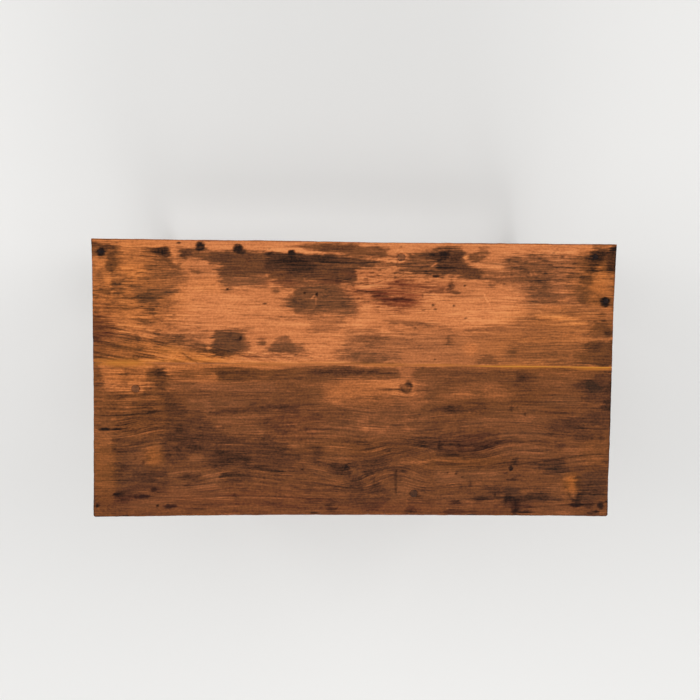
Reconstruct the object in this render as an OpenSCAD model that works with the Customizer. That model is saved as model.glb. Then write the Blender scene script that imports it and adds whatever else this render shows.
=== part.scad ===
// An old tavern table: a two-board top on a pegged frame with four turned legs.
// X runs along the top, Y from the front edge to the back edge, and Z up from the floor.
// The origin is on the floor, under the middle of the top.

/* [Top] */
// Length of the top
top_length = 1140; // [1040:10:1300]
// Depth of the top, from front edge to back edge
top_depth = 607; // [560:1:700]
// Height of the top face above the floor
table_height = 720; // [680:5:780]
// Thickness of the two boards
top_thickness = 25; // [23:0.5:32]
// Depth of the back board, from the back edge to the seam
back_board_depth = 269; // [230:1:300]
// Radius of the two front corners, seen from above
front_corner_r = 5; // [2:0.5:10]
// Worn chamfer along the edges of the boards
edge_ease = 1.5; // [0.5:0.25:3]

/* [Seam] */
// Width of the filler strip in the seam
filler_width = 3; // [2:0.25:5]
// Depth of the filler strip
filler_depth = 3; // [2:0.25:5]
// Diameter of the dowels across the seam
dowel_d = 10; // [8:0.5:12]
// Length of a dowel
dowel_length = 60; // [50:1:80]
// Number of dowels
dowel_count = 5; // [3:1:5]
// Distance between dowels
dowel_pitch = 220; // [150:5:240]

/* [Overhang] */
// How far the top reaches past the legs at each end
end_overhang = 78; // [74:1:110]
// How far the top reaches past the front legs
front_overhang = 37.5; // [20:0.5:60]
// How far the top reaches past the back legs
back_overhang = 18; // [10:0.5:40]

/* [Legs] */
// Width of the square blocks of a leg
leg_width = 58; // [56:1:70]
// Height of the square block at the top of a leg
top_block_height = 128; // [120:1:160]
// Height of the square block that takes the stretchers
stretcher_block_height = 76; // [65:1:95]
// Height of the turned foot
foot_height = 88; // [75:1:120]
// Largest radius of the turning
swell_r = 26.5; // [23:0.5:27.5]
// Radius at the two thin necks of the turning
neck_r = 15; // [13:0.5:18]
// Height of the main rings
ring_height = 12; // [9:0.5:15]
// Height of the flat fillets beside the rings
fillet_height = 3; // [2:0.5:5]
// Height of the rounded shoulder under or over a square block
shoulder_height = 14; // [8:1:18]
// Height of the short column above the vase
column_height = 100; // [70:5:130]
// Height of the vase's swell below its widest place
swell_height = 62; // [45:1:80]
// Radius of the floor contact of the foot
foot_pad_r = 18; // [15:0.5:22]

/* [Aprons] */
// Height of the aprons
apron_height = 105; // [90:1:118]
// Thickness of the aprons
apron_thickness = 24; // [22:0.5:28]
// How far the aprons are set back from the outer faces of the legs
apron_reveal = 3; // [1:0.5:4]
// Length of the apron tenons
apron_tenon_length = 34; // [28:0.5:36]
// Thickness of the apron tenons
apron_tenon_thickness = 9; // [7:0.5:10]
// Shoulder above an apron tenon
apron_shoulder_top = 16; // [12:1:20]
// Shoulder below an apron tenon
apron_shoulder_low = 8; // [5:1:12]
// Width of the scratched line along an apron's lower edge
scratch_width = 2.5; // [1.5:0.5:4]
// Depth of the scratched line
scratch_depth = 1.5; // [1:0.25:2.5]
// Height of the scratched line above the lower edge
scratch_rise = 9; // [6:1:14]

/* [Stretchers] */
// Height of the stretchers
stretcher_height = 46; // [38:1:55]
// Thickness of the stretchers
stretcher_thickness = 28; // [22:0.5:32]
// Length of the stretcher tenons
stretcher_tenon_length = 22; // [16:0.5:22]
// Thickness of the stretcher tenons
stretcher_tenon_thickness = 10; // [8:0.5:12]
// Shoulder above and below a stretcher tenon
stretcher_shoulder = 6; // [4:0.5:8]

/* [Pegs] */
// Diameter of the pegs
peg_d = 8; // [6:0.5:9]
// How far the pegs stand out of the leg
peg_proud = 1; // [0.5:0.25:2]
// Length of an apron peg inside the leg
apron_peg_depth = 33; // [28:0.5:34]
// Distance between the two pegs of an apron tenon
apron_peg_pitch = 44; // [34:1:54]
// Length of a stretcher peg inside the leg
stretcher_peg_depth = 39; // [36:0.5:40]

/* [Battens] */
// Width of the end battens
batten_width = 48; // [44:1:50]
// Thickness of the end battens
batten_thickness = 20; // [17:0.5:26]
// Distance from the end of the top to a batten
batten_end_inset = 10; // [6:1:14]
// Distance from the long edges of the top to a batten's ends
batten_side_inset = 14; // [8:1:20]
// Length of a batten screw
batten_screw_length = 32; // [28:1:36]
// Shank diameter of a batten screw
batten_screw_d = 4.5; // [3.5:0.5:5.5]
// Head diameter of a batten screw
batten_screw_head_d = 9; // [8:0.5:11]
// Distance between batten screws
batten_screw_pitch = 150; // [120:5:160]
// Number of screws in each batten
batten_screw_count = 4; // [2:1:4]

/* [Screws and plugs in the top] */
// Diameter of the round plugs
plug_d = 17; // [15:0.5:20]
// Depth of the plugs
plug_depth = 9; // [6:0.5:10]
// Head diameter of the screws under the plugs
top_screw_head_d = 12; // [10:0.5:13]
// Shank diameter of the screws under the plugs
top_screw_d = 6; // [5:0.5:7]
// Length of the screws under the plugs
top_screw_length = 50; // [45:1:60]
// Place along the back apron of its screw, from the middle
back_screw_x = 96; // [-150:1:150]
// Place along the front apron of its screw, from the middle
front_screw_x = 132.5; // [-160:0.5:160]
// Place along the left apron of its screw, from the middle of the top
left_screw_y = -20; // [-60:1:15]

/* [Nails] */
// Head diameter of the nails in the top
nail_head_d = 12; // [10:0.5:14]
// Thickness of a nail's head
nail_head_height = 1.6; // [1:0.2:2.4]
// Shank diameter of the nails
nail_d = 4; // [3:0.25:5]
// Length of the nails
nail_length = 41; // [36:1:42]
// Distance of the outer nails from the ends of the top
outer_nail_inset = 20.5; // [17:0.5:30]
// Distance of the inner nail from the right end of the top
inner_nail_inset = 47; // [40:0.5:50]
// Distance of the two corner nails from the back edge
corner_nail_inset = 27.5; // [24:0.5:40]
// Distance of the third nail from the back edge
third_nail_inset = 124.5; // [100:0.5:150]

/* [Glue blocks] */
// Length of a glue block
block_length = 70; // [50:5:100]
// Width and height of a glue block
block_side = 22; // [18:1:28]
// Distance of the long aprons' blocks from the middle
block_offset = 215; // [180:5:260]

/* [Fits] */
// Clearance round tenons, pegs, dowels and shanks
fit = 0.1; // [0.05:0.05:0.25]
// Clearance at the end of a tenon
tenon_end_gap = 0.8; // [0.5:0.1:1]

/* [Hidden] */

PINE = "#a8662f";
DARK_PINE = "#7d4a26";
LEG_WOOD = "#6b3d20";
PEG_WOOD = "#4c2b17";
FILLER = "#c98a1e";
IRON = "#3a3330";

$fn = 64;
CURVE_STEPS = 8;
TURNING_FN = 96;
CUT = 1;

half_length = top_length / 2;
half_depth = top_depth / 2;
board_bottom = table_height - top_thickness;
board_middle = table_height - top_thickness / 2;
seam_y = half_depth - back_board_depth;

leg_height = board_bottom;
leg_x = half_length - end_overhang - leg_width / 2;
leg_front_y = -half_depth + front_overhang + leg_width / 2;
leg_back_y = half_depth - back_overhang - leg_width / 2;
frame_middle_y = (leg_front_y + leg_back_y) / 2;

top_block_bottom = leg_height - top_block_height;
stretcher_block_top = foot_height + stretcher_block_height;

apron_offset = leg_width / 2 - apron_reveal - apron_thickness / 2;
apron_bottom = board_bottom - apron_height;
apron_tenon_bottom = apron_bottom + apron_shoulder_low;
apron_tenon_height = apron_height - apron_shoulder_low - apron_shoulder_top;
apron_peg_z = apron_tenon_bottom + apron_tenon_height / 2;
long_span = 2 * leg_x - leg_width;
short_span = leg_back_y - leg_front_y - leg_width;

stretcher_bottom = foot_height + (stretcher_block_height - stretcher_height) / 2;
stretcher_tenon_height = stretcher_height - 2 * stretcher_shoulder;
stretcher_peg_z = stretcher_bottom + stretcher_height / 2;

// Where a peg crosses its tenon, measured from the middle of the leg
apron_peg_across = leg_width / 2 - apron_tenon_length / 2;
stretcher_peg_across = leg_width / 2 - stretcher_tenon_length / 2;

batten_x = half_length - batten_end_inset - batten_width / 2;
batten_length = top_depth - 2 * batten_side_inset;
batten_bottom = board_bottom - batten_thickness;
batten_screw_ys = [for (i = [0 : batten_screw_count - 1])
    (i - (batten_screw_count - 1) / 2) * batten_screw_pitch];

dowel_xs = [for (i = [0 : dowel_count - 1]) (i - (dowel_count - 1) / 2) * dowel_pitch];

top_screw_places = [
    [-leg_x - apron_offset, left_screw_y],
    [back_screw_x, leg_back_y + apron_offset],
    [front_screw_x, leg_front_y - apron_offset]
];
nail_places = [
    [-half_length + outer_nail_inset, half_depth - corner_nail_inset],
    [half_length - inner_nail_inset, half_depth - corner_nail_inset],
    [half_length - outer_nail_inset, half_depth - third_nail_inset]
];

// Each glue block: its middle on an apron's inner face, and the turn that faces it inwards
glue_block_places = [
    for (side = [-1, 1]) [side * block_offset, leg_front_y - apron_offset + apron_thickness / 2, 0],
    for (side = [-1, 1]) [side * block_offset, leg_back_y + apron_offset - apron_thickness / 2, 180],
    [-leg_x - apron_offset + apron_thickness / 2, frame_middle_y, -90],
    [leg_x + apron_offset - apron_thickness / 2, frame_middle_y, 90]
];

// The curves of the turning, as lists of [radius, height]

// A rounded ring of the turning
function ring(z, r, height) = [for (i = [0 : CURVE_STEPS])
    let (angle = -90 + 180 * i / CURVE_STEPS)
    [r - height / 2 + height / 2 * cos(angle), z + height / 2 + height / 2 * sin(angle)]];

// An S-shaped sweep from one radius to another
function sweep(z, r_low, r_high, height) = [for (i = [0 : CURVE_STEPS])
    [r_low + (r_high - r_low) * (1 - cos(180 * i / CURVE_STEPS)) / 2, z + height * i / CURVE_STEPS]];

// A rounded shoulder that leaves a square block upwards (side = 1) or downwards (side = -1)
function shoulder(z, r, height, side) = [for (i = [0 : CURVE_STEPS])
    let (angle = side > 0 ? 90 * i / CURVE_STEPS : 90 - 90 * i / CURVE_STEPS)
    [r + (block_r - r) * cos(angle), z + side * height * sin(angle)]];

// The same points, without any that repeats the one before it
function without_repeats(points) = [for (i = [0 : len(points) - 1])
    if (i == 0 || norm(points[i] - points[max(i - 1, 0)]) > 0.01) points[i]];

// Reaches past the corners of a square block, so that the block stays square
block_r = leg_width / sqrt(2) + 1;
ring_r = swell_r;
fillet_r = swell_r - ring_height / 2;
collar_r = neck_r + 6;
collar_height = 9;
collar_fillet_r = collar_r - collar_height / 2;
foot_swell_z = 32;
foot_pad_rise = 4;
foot_ring_height = 9;
step = 2;

turning_bottom = stretcher_block_top + shoulder_height;
low_ring_z = turning_bottom + fillet_height;
vase_z = low_ring_z + ring_height + fillet_height;
turning_top = top_block_bottom - shoulder_height;
high_ring_z = turning_top - fillet_height - ring_height;
column_z = high_ring_z - fillet_height - column_height;
collar_z = column_z - fillet_height - collar_height;
vase_top = collar_z - fillet_height;
foot_top = foot_height - shoulder_height;
foot_ring_z = foot_top - fillet_height - foot_ring_height;
foot_neck_z = foot_ring_z - fillet_height;

foot_profile = concat(
    [[0, 0], [foot_pad_r, 0]],
    sweep(foot_pad_rise, foot_pad_r + step, ring_r, foot_swell_z - foot_pad_rise),
    sweep(foot_swell_z, ring_r, neck_r, foot_neck_z - foot_swell_z),
    [[fillet_r, foot_neck_z], [fillet_r, foot_ring_z]],
    ring(foot_ring_z, ring_r - step, foot_ring_height),
    [[fillet_r, foot_ring_z + foot_ring_height], [fillet_r, foot_top]],
    shoulder(foot_height, fillet_r + step, shoulder_height, -1)
);

middle_profile = concat(
    shoulder(stretcher_block_top, fillet_r + step, shoulder_height, 1),
    [[fillet_r, turning_bottom], [fillet_r, low_ring_z]],
    ring(low_ring_z, ring_r, ring_height),
    [[fillet_r, low_ring_z + ring_height], [fillet_r, vase_z]],
    sweep(vase_z, neck_r + step, swell_r, swell_height),
    sweep(vase_z + swell_height, swell_r, neck_r, vase_top - vase_z - swell_height),
    [[collar_fillet_r, vase_top], [collar_fillet_r, collar_z]],
    ring(collar_z, collar_r, collar_height),
    [[collar_fillet_r, collar_z + collar_height], [collar_fillet_r, column_z]],
    sweep(column_z, neck_r, fillet_r, column_height),
    [[fillet_r + step, column_z + column_height], [fillet_r + step, high_ring_z]],
    ring(high_ring_z, ring_r, ring_height),
    [[fillet_r, high_ring_z + ring_height], [fillet_r, turning_top]],
    shoulder(top_block_bottom, fillet_r + step, shoulder_height, -1)
);

leg_profile = without_repeats(
    concat(foot_profile, middle_profile, [[block_r, leg_height], [0, leg_height]]));

// A box given by its lowest corner and its size
module block(low, size) {
    translate(low) cube(size);
}

// The top's cross-section, half_width to either side, with its four edges eased
module eased_section(half_width) {
    polygon([
        [-half_width, board_bottom + edge_ease], [-half_width + edge_ease, board_bottom],
        [half_width - edge_ease, board_bottom], [half_width, board_bottom + edge_ease],
        [half_width, table_height - edge_ease], [half_width - edge_ease, table_height],
        [-half_width + edge_ease, table_height], [-half_width, table_height - edge_ease]
    ]);
}

// A quarter circle in plan, from the angle start
function corner_arc(x, y, start) = [for (i = [0 : CURVE_STEPS])
    let (angle = start + 90 * i / CURVE_STEPS)
    [x + front_corner_r * cos(angle), y + front_corner_r * sin(angle)]];

// The whole top in one piece, with its edges eased and its front corners rounded
module whole_top() {
    intersection() {
        translate([-half_length, 0, 0]) rotate([90, 0, 90])
            linear_extrude(top_length) eased_section(half_depth);
        translate([0, half_depth, 0]) rotate([90, 0, 0])
            linear_extrude(top_depth) eased_section(half_length);
        linear_extrude(table_height) polygon(concat(
            corner_arc(-half_length + front_corner_r, -half_depth + front_corner_r, 180),
            corner_arc(half_length - front_corner_r, -half_depth + front_corner_r, 270),
            [[half_length, half_depth], [-half_length, half_depth]]
        ));
    }
}

// The part of the top between two places across it
module top_between(y0, y1) {
    intersection() {
        whole_top();
        block([-half_length - CUT, y0, board_bottom - CUT],
            [top_length + 2 * CUT, y1 - y0, top_thickness + 2 * CUT]);
    }
}

// Everything that is cut into the two boards
module top_cuts() {
    block([-half_length - CUT, seam_y - filler_width / 2, table_height - filler_depth],
        [top_length + 2 * CUT, filler_width, filler_depth + CUT]);
    for (x = dowel_xs)
        translate([x, seam_y, board_middle]) rotate([90, 0, 0])
            cylinder(h = dowel_length + 2 * CUT, d = dowel_d + 2 * fit, center = true);
    for (place = top_screw_places)
        translate([place[0], place[1], 0]) top_screw_hole();
    for (place = nail_places)
        translate([place[0], place[1], table_height]) mirror([0, 0, 1]) nail_shape(fit, CUT);
    for (side = [-1, 1])
        for (y = batten_screw_ys)
            translate([side * batten_x, y, batten_bottom]) batten_screw_shape(fit);
}

module top_board_back() {
    color(PINE) difference() {
        top_between(seam_y, half_depth + CUT);
        top_cuts();
    }
}

module top_board_front() {
    color(PINE) difference() {
        top_between(-half_depth - CUT, seam_y);
        top_cuts();
    }
}

module seam_filler() {
    color(FILLER) intersection() {
        whole_top();
        block([-half_length - CUT, seam_y - filler_width / 2, table_height - filler_depth],
            [top_length + 2 * CUT, filler_width, filler_depth + CUT]);
    }
}

module seam_dowels() {
    color(PEG_WOOD) for (x = dowel_xs)
        translate([x, seam_y, board_middle]) rotate([90, 0, 0])
            cylinder(h = dowel_length, d = dowel_d, center = true);
}

// The hole for a plug, a screw head and a shank, down from the top face
module top_screw_hole() {
    translate([0, 0, table_height - plug_depth])
        cylinder(h = plug_depth + CUT, d = plug_d + 2 * fit);
    translate([0, 0, table_height - plug_depth]) mirror([0, 0, 1]) screw_shape(
        top_screw_length, top_screw_d, top_screw_head_d, fit);
}

// A countersunk screw that points up from its head's face at zero
module screw_shape(length, shank_d, head_d, clearance) {
    head_height = (head_d - shank_d) / 2;
    tip_height = shank_d;
    rotate_extrude() polygon([
        [0, 0], [head_d / 2 + clearance, 0],
        [shank_d / 2 + clearance, head_height],
        [shank_d / 2 + clearance, length - tip_height],
        [0, length + clearance]
    ]);
}

// The slot across a screw's head
module screw_slot(head_d) {
    slot_width = head_d / 9;
    slot_depth = head_d / 10;
    block([-head_d, -slot_width / 2, -CUT], [2 * head_d, slot_width, slot_depth + CUT]);
}

module batten_screw_shape(clearance) {
    screw_shape(batten_screw_length, batten_screw_d, batten_screw_head_d, clearance);
}

// A nail that points up from its head's face at zero, longer at the head by rise
module nail_shape(clearance, rise) {
    translate([0, 0, -rise])
        cylinder(h = nail_head_height + rise, d = nail_head_d + 2 * clearance);
    cylinder(h = nail_length - nail_d, d = nail_d + 2 * clearance);
    translate([0, 0, nail_length - nail_d])
        cylinder(h = nail_d, d1 = nail_d + 2 * clearance, d2 = nail_d / 4);
}

module top_screws() {
    color(IRON) for (place = top_screw_places)
        translate([place[0], place[1], table_height - plug_depth]) mirror([0, 0, 1])
            difference() {
                screw_shape(top_screw_length, top_screw_d, top_screw_head_d, 0);
                screw_slot(top_screw_head_d);
            }
}

module top_plugs() {
    color(DARK_PINE) for (place = top_screw_places)
        translate([place[0], place[1], table_height - plug_depth])
            cylinder(h = plug_depth, d = plug_d);
}

module top_nails() {
    color(IRON) for (place = nail_places)
        translate([place[0], place[1], table_height]) mirror([0, 0, 1]) nail_shape(0, 0);
}

module end_batten(side) {
    color(DARK_PINE) difference() {
        block([side * batten_x - batten_width / 2, -batten_length / 2, batten_bottom],
            [batten_width, batten_length, batten_thickness]);
        for (y = batten_screw_ys)
            translate([side * batten_x, y, batten_bottom]) batten_screw_shape(fit);
        for (place = nail_places)
            translate([place[0], place[1], table_height]) mirror([0, 0, 1])
                nail_shape(fit, 0);
    }
}

module batten_screws() {
    color(IRON) for (side = [-1, 1])
        for (y = batten_screw_ys)
            translate([side * batten_x, y, batten_bottom]) difference() {
                batten_screw_shape(0);
                screw_slot(batten_screw_head_d);
            }
}

// The two mortises and three pegs of a leg for one direction, cut from its inner -X face
module leg_joint_cuts() {
    inner = -leg_width / 2;
    block([inner - CUT, apron_offset - apron_tenon_thickness / 2 - fit, apron_tenon_bottom - fit],
        [apron_tenon_length + tenon_end_gap + CUT, apron_tenon_thickness + 2 * fit,
            apron_tenon_height + 2 * fit]);
    block([inner - CUT, -stretcher_tenon_thickness / 2 - fit,
            stretcher_bottom + stretcher_shoulder - fit],
        [stretcher_tenon_length + tenon_end_gap + CUT, stretcher_tenon_thickness + 2 * fit,
            stretcher_tenon_height + 2 * fit]);
    apron_peg_pair(fit, CUT);
    stretcher_peg(fit, CUT);
}

// The two pegs that cross an apron's tenon, driven in from the leg's outer +Y face
module apron_peg_pair(clearance, rise) {
    for (side = [-1, 1])
        translate([-apron_peg_across, leg_width / 2 + rise,
                apron_peg_z + side * apron_peg_pitch / 2])
            rotate([90, 0, 0])
                cylinder(h = apron_peg_depth + rise + clearance, d = peg_d + 2 * clearance);
}

// The peg that crosses a stretcher's tenon, driven in from the leg's outer +Y face
module stretcher_peg(clearance, rise) {
    translate([-stretcher_peg_across, leg_width / 2 + rise, stretcher_peg_z])
        rotate([90, 0, 0])
            cylinder(h = stretcher_peg_depth + rise + clearance, d = peg_d + 2 * clearance);
}

// Its children are drawn as on the right back leg, and carried to the leg at [side_x, side_y]
module at_leg(side_x, side_y) {
    translate([side_x * leg_x, side_y > 0 ? leg_back_y : leg_front_y, 0])
        mirror([side_x > 0 ? 0 : 1, 0, 0]) mirror([0, side_y > 0 ? 0 : 1, 0]) children();
}

// Draws its children for the long apron's joint, and again turned over for the short one's
module both_ways() {
    children();
    mirror([1, -1, 0]) children();
}

module leg(side_x, side_y) {
    color(LEG_WOOD) at_leg(side_x, side_y) difference() {
        intersection() {
            block([-leg_width / 2, -leg_width / 2, 0], [leg_width, leg_width, leg_height]);
            rotate_extrude($fn = TURNING_FN) polygon(leg_profile);
        }
        both_ways() leg_joint_cuts();
    }
}

// An apron along X, centred on its length, with its outer face towards +Y and its middle at y = 0
module apron_shape(span) {
    difference() {
        union() {
            block([-span / 2, -apron_thickness / 2, apron_bottom],
                [span, apron_thickness, apron_height]);
            block([-span / 2 - apron_tenon_length, -apron_tenon_thickness / 2,
                    apron_tenon_bottom],
                [span + 2 * apron_tenon_length, apron_tenon_thickness, apron_tenon_height]);
        }
        block([-span / 2 - CUT, apron_thickness / 2 - scratch_depth, apron_bottom + scratch_rise],
            [span + 2 * CUT, scratch_depth + CUT, scratch_width]);
        for (side = [-1, 1])
            translate([side * (span + leg_width) / 2, -apron_offset, 0])
                mirror([side > 0 ? 0 : 1, 0, 0]) apron_peg_pair(fit, CUT);
    }
}

module apron_long(side) {
    color(LEG_WOOD) difference() {
        translate([0, side > 0 ? leg_back_y + apron_offset : leg_front_y - apron_offset, 0])
            mirror([0, side > 0 ? 0 : 1, 0]) apron_shape(long_span);
        for (place = top_screw_places)
            translate([place[0], place[1], 0]) top_screw_hole();
    }
}

module apron_short(side) {
    color(LEG_WOOD) difference() {
        translate([side * (leg_x + apron_offset), frame_middle_y, 0])
            rotate([0, 0, -side * 90]) apron_shape(short_span);
        for (place = top_screw_places)
            translate([place[0], place[1], 0]) top_screw_hole();
    }
}

// A stretcher along X, centred on its length, with its outer face towards +Y
module stretcher_shape(span) {
    difference() {
        union() {
            block([-span / 2, -stretcher_thickness / 2, stretcher_bottom],
                [span, stretcher_thickness, stretcher_height]);
            block([-span / 2 - stretcher_tenon_length, -stretcher_tenon_thickness / 2,
                    stretcher_bottom + stretcher_shoulder],
                [span + 2 * stretcher_tenon_length, stretcher_tenon_thickness,
                    stretcher_tenon_height]);
        }
        for (side = [-1, 1])
            translate([side * (span + leg_width) / 2, 0, 0])
                mirror([side > 0 ? 0 : 1, 0, 0]) stretcher_peg(fit, CUT);
    }
}

module stretcher_long(side) {
    color(DARK_PINE) translate([0, side > 0 ? leg_back_y : leg_front_y, 0])
        mirror([0, side > 0 ? 0 : 1, 0]) stretcher_shape(long_span);
}

module stretcher_short(side) {
    color(DARK_PINE) translate([side * leg_x, frame_middle_y, 0])
        rotate([0, 0, -side * 90]) stretcher_shape(short_span);
}

module apron_pegs() {
    color(PEG_WOOD) for (side_x = [-1, 1], side_y = [-1, 1])
        at_leg(side_x, side_y) both_ways() apron_peg_pair(0, peg_proud);
}

module stretcher_pegs() {
    color(PEG_WOOD) for (side_x = [-1, 1], side_y = [-1, 1])
        at_leg(side_x, side_y) both_ways() stretcher_peg(0, peg_proud);
}

module glue_blocks() {
    color(DARK_PINE) for (place = glue_block_places)
        translate([place[0], place[1], 0]) rotate([0, 0, place[2]])
            block([-block_length / 2, 0, board_bottom - block_side],
                [block_length, block_side, block_side]);
}

top_board_back();
top_board_front();
seam_filler();
seam_dowels();
end_batten(-1);  // end_batten_left
end_batten(1);  // end_batten_right
batten_screws();
top_nails();
top_screws();
top_plugs();
leg(-1, -1);  // leg_front_left
leg(1, -1);  // leg_front_right
leg(-1, 1);  // leg_back_left
leg(1, 1);  // leg_back_right
apron_long(-1);  // apron_front
apron_long(1);  // apron_back
apron_short(-1);  // apron_left
apron_short(1);  // apron_right
apron_pegs();
stretcher_long(-1);  // stretcher_front
stretcher_long(1);  // stretcher_back
stretcher_short(-1);  // stretcher_left
stretcher_short(1);  // stretcher_right
stretcher_pegs();
glue_blocks();
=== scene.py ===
"""An old tavern table: a stained two-board pine top on a pegged frame with four turned legs."""
import math

import bmesh
import bpy
import numpy as np
from bpy.props import FloatProperty, FloatVectorProperty, IntProperty
from mathutils import Matrix, Vector


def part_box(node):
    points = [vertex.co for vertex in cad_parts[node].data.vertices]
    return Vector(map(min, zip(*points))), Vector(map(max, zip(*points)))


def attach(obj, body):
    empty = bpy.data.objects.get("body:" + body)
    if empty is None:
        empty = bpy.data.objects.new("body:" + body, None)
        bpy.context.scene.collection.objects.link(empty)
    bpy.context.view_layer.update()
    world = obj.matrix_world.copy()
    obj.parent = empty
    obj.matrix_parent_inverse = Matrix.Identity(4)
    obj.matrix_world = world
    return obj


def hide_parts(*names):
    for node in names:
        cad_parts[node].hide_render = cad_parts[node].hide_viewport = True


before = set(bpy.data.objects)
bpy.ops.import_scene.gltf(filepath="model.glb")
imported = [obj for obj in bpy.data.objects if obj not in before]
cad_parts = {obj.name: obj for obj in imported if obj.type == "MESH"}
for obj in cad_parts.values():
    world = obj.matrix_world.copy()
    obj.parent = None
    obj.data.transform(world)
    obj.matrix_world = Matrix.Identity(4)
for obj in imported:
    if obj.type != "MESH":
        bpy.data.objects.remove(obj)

bl_info = {
    "name": "Tavern table",
    "version": (1, 0, 0),
    "blender": (4, 5, 0),
    "location": "3D View > Sidebar > Tavern table",
    "description": "Builds the looks of an old tavern table round its frame",
    "category": "Add Mesh",
}

MM = 0.001
BODY = "root"

# The corners of the top and of its filler, in metres
TOP_LOW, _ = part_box("top_board_front")
_, TOP_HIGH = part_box("top_board_back")
FILLER_LOW, FILLER_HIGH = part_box("seam_filler")
TOP_Z = TOP_HIGH.z
# Sizes in millimetres. On the top, x runs to the right from its middle and y to the back edge
BOARD_THICKNESS = (TOP_HIGH.z - TOP_LOW.z) / MM
HALF_LENGTH = TOP_HIGH.x / MM
HALF_DEPTH = TOP_HIGH.y / MM
FILLER_HALF = (FILLER_HIGH.y - FILLER_LOW.y) / MM / 2
FILLER_DEPTH = (FILLER_HIGH.z - FILLER_LOW.z) / MM


def linear(hex_colour):
    """An sRGB hex colour as linear red, green, blue and alpha."""
    parts = [int(hex_colour[i:i + 2], 16) / 255 for i in (1, 3, 5)]
    rgb = [c / 12.92 if c <= 0.04045 else ((c + 0.055) / 1.055) ** 2.4 for c in parts]
    return (*rgb, 1.0)


# Noise and soft shapes, worked out for many places at once

def smooth(t):
    """A smooth step of values from 0 to 1."""
    t = np.clip(t, 0.0, 1.0)
    return t * t * (3.0 - 2.0 * t)


def noise(x, y, seed):
    """Smooth noise from 0 to 1, with one bump to each unit of x and y."""
    lattice = np.random.default_rng(seed).random((256, 256))
    xi, yi = np.floor(x).astype(int), np.floor(y).astype(int)
    fx, fy = smooth(x - xi), smooth(y - yi)
    x0, x1, y0, y1 = xi & 255, (xi + 1) & 255, yi & 255, (yi + 1) & 255
    low = lattice[x0, y0] * (1 - fx) + lattice[x1, y0] * fx
    high = lattice[x0, y1] * (1 - fx) + lattice[x1, y1] * fx
    return low * (1 - fy) + high * fy


def rough(x, y, size_x, size_y, seed, octaves=4):
    """Layered noise from about -1 to 1, whose largest bumps measure size_x by size_y."""
    total, weight, share = 0.0, 0.0, 1.0
    for octave in range(octaves):
        step = 2.0 ** octave
        total = total + share * noise(x / size_x * step + 7.3, y / size_y * step + 3.1, seed + octave)
        weight += share
        share *= 0.6
    return (total / weight - 0.5) * 3.2


def along(points, x):
    """A smooth line through points (x, y), read at x."""
    xs, ys = [p[0] for p in points], [p[1] for p in points]
    reach = (xs[-1] - xs[0]) * 0.02
    return sum(np.interp(x + s * reach, xs, ys) for s in (-2, -1, 0, 1, 2)) / 5


def depth_inside(x, y, outline):
    """How deep each place lies inside an outline, in millimetres; negative outside it."""
    far, inside = np.full_like(x, 1e9), np.zeros(len(x), bool)
    for (ax, ay), (bx, by) in zip(outline, np.roll(outline, -1, axis=0)):
        t = np.clip(((x - ax) * (bx - ax) + (y - ay) * (by - ay)) / ((bx - ax) ** 2 + (by - ay) ** 2), 0, 1)
        far = np.minimum(far, np.hypot(x - ax - t * (bx - ax), y - ay - t * (by - ay)))
        if ay != by:
            inside ^= ((y < ay) != (y < by)) & (x < ax + (y - ay) * (bx - ax) / (by - ay))
    return np.where(inside, far, -far)


def stains(x, y, base, breaks, marks):
    """The darkness, the olive tinge and the borders of stains, each laid over the ones before it.

    Each is (darkness, softness of its edge in millimetres, how olive, outline), and an outline is a list of
    points or an oval: (x, y, half length, half height). Where the breaks are high a stain's border reaches
    out, and where they are low it falls back, as with a dry brush."""
    tone, olive, border = np.full_like(x, base), np.zeros_like(x), np.zeros_like(x)
    for level, soft, green, points in marks:
        fade, push = 2.7 * soft, 0.8 * soft + 1.3
        outline = np.reshape(points, (-1, 2)).astype(float)
        if np.ndim(points) == 1:
            (cx, cy), (rx, ry) = outline
            low, high = outline[0] - outline[1], outline[0] + outline[1]
            reach = (fade + 2.2) * outline[1] / min(rx, ry)
        else:
            low, high, reach = outline.min(0), outline.max(0), np.full(2, fade + 2.2)
        near = ((x > low[0] - reach[0]) & (x < high[0] + reach[0])
                & (y > low[1] - reach[1]) & (y < high[1] + reach[1]))
        if np.ndim(points) == 1:
            depth = (1 - np.hypot((x[near] - cx) / rx, (y[near] - cy) / ry)) * min(rx, ry)
        else:
            depth = depth_inside(x[near], y[near], outline)
        inside = smooth(0.5 + (depth + push * breaks[near]) / fade)
        step = np.clip(5 * np.abs(level - tone[near]), 0, 1)
        border[near] = np.maximum(border[near] * (1 - inside), 4 * inside * (1 - inside) * step)
        tone[near] += (level - tone[near]) * inside
        olive[near] += (green - olive[near]) * inside
    return tone, olive, border


def spots(x, y, marks, edge=0.3, ragged=0.0):
    """The strongest of many small ovals at each place: (x, y, half length, half height, strength)."""
    out = np.zeros_like(x)
    for cx, cy, rx, ry, strength in marks:
        near = (np.abs(x - cx) < rx * 2 + 2) & (np.abs(y - cy) < ry * 2 + 2)
        d = np.hypot((x[near] - cx) / rx, (y[near] - cy) / ry)
        if ragged:
            px, py = x[near], y[near]
            d = d + ragged * (rough(px, py, 11, 5, 57, 3) + 0.6 * rough(px, py, 4, 3, 58, 2))
        out[near] = np.maximum(out[near], strength * smooth((1 + edge - d) / (2 * edge)))
    return out


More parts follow.
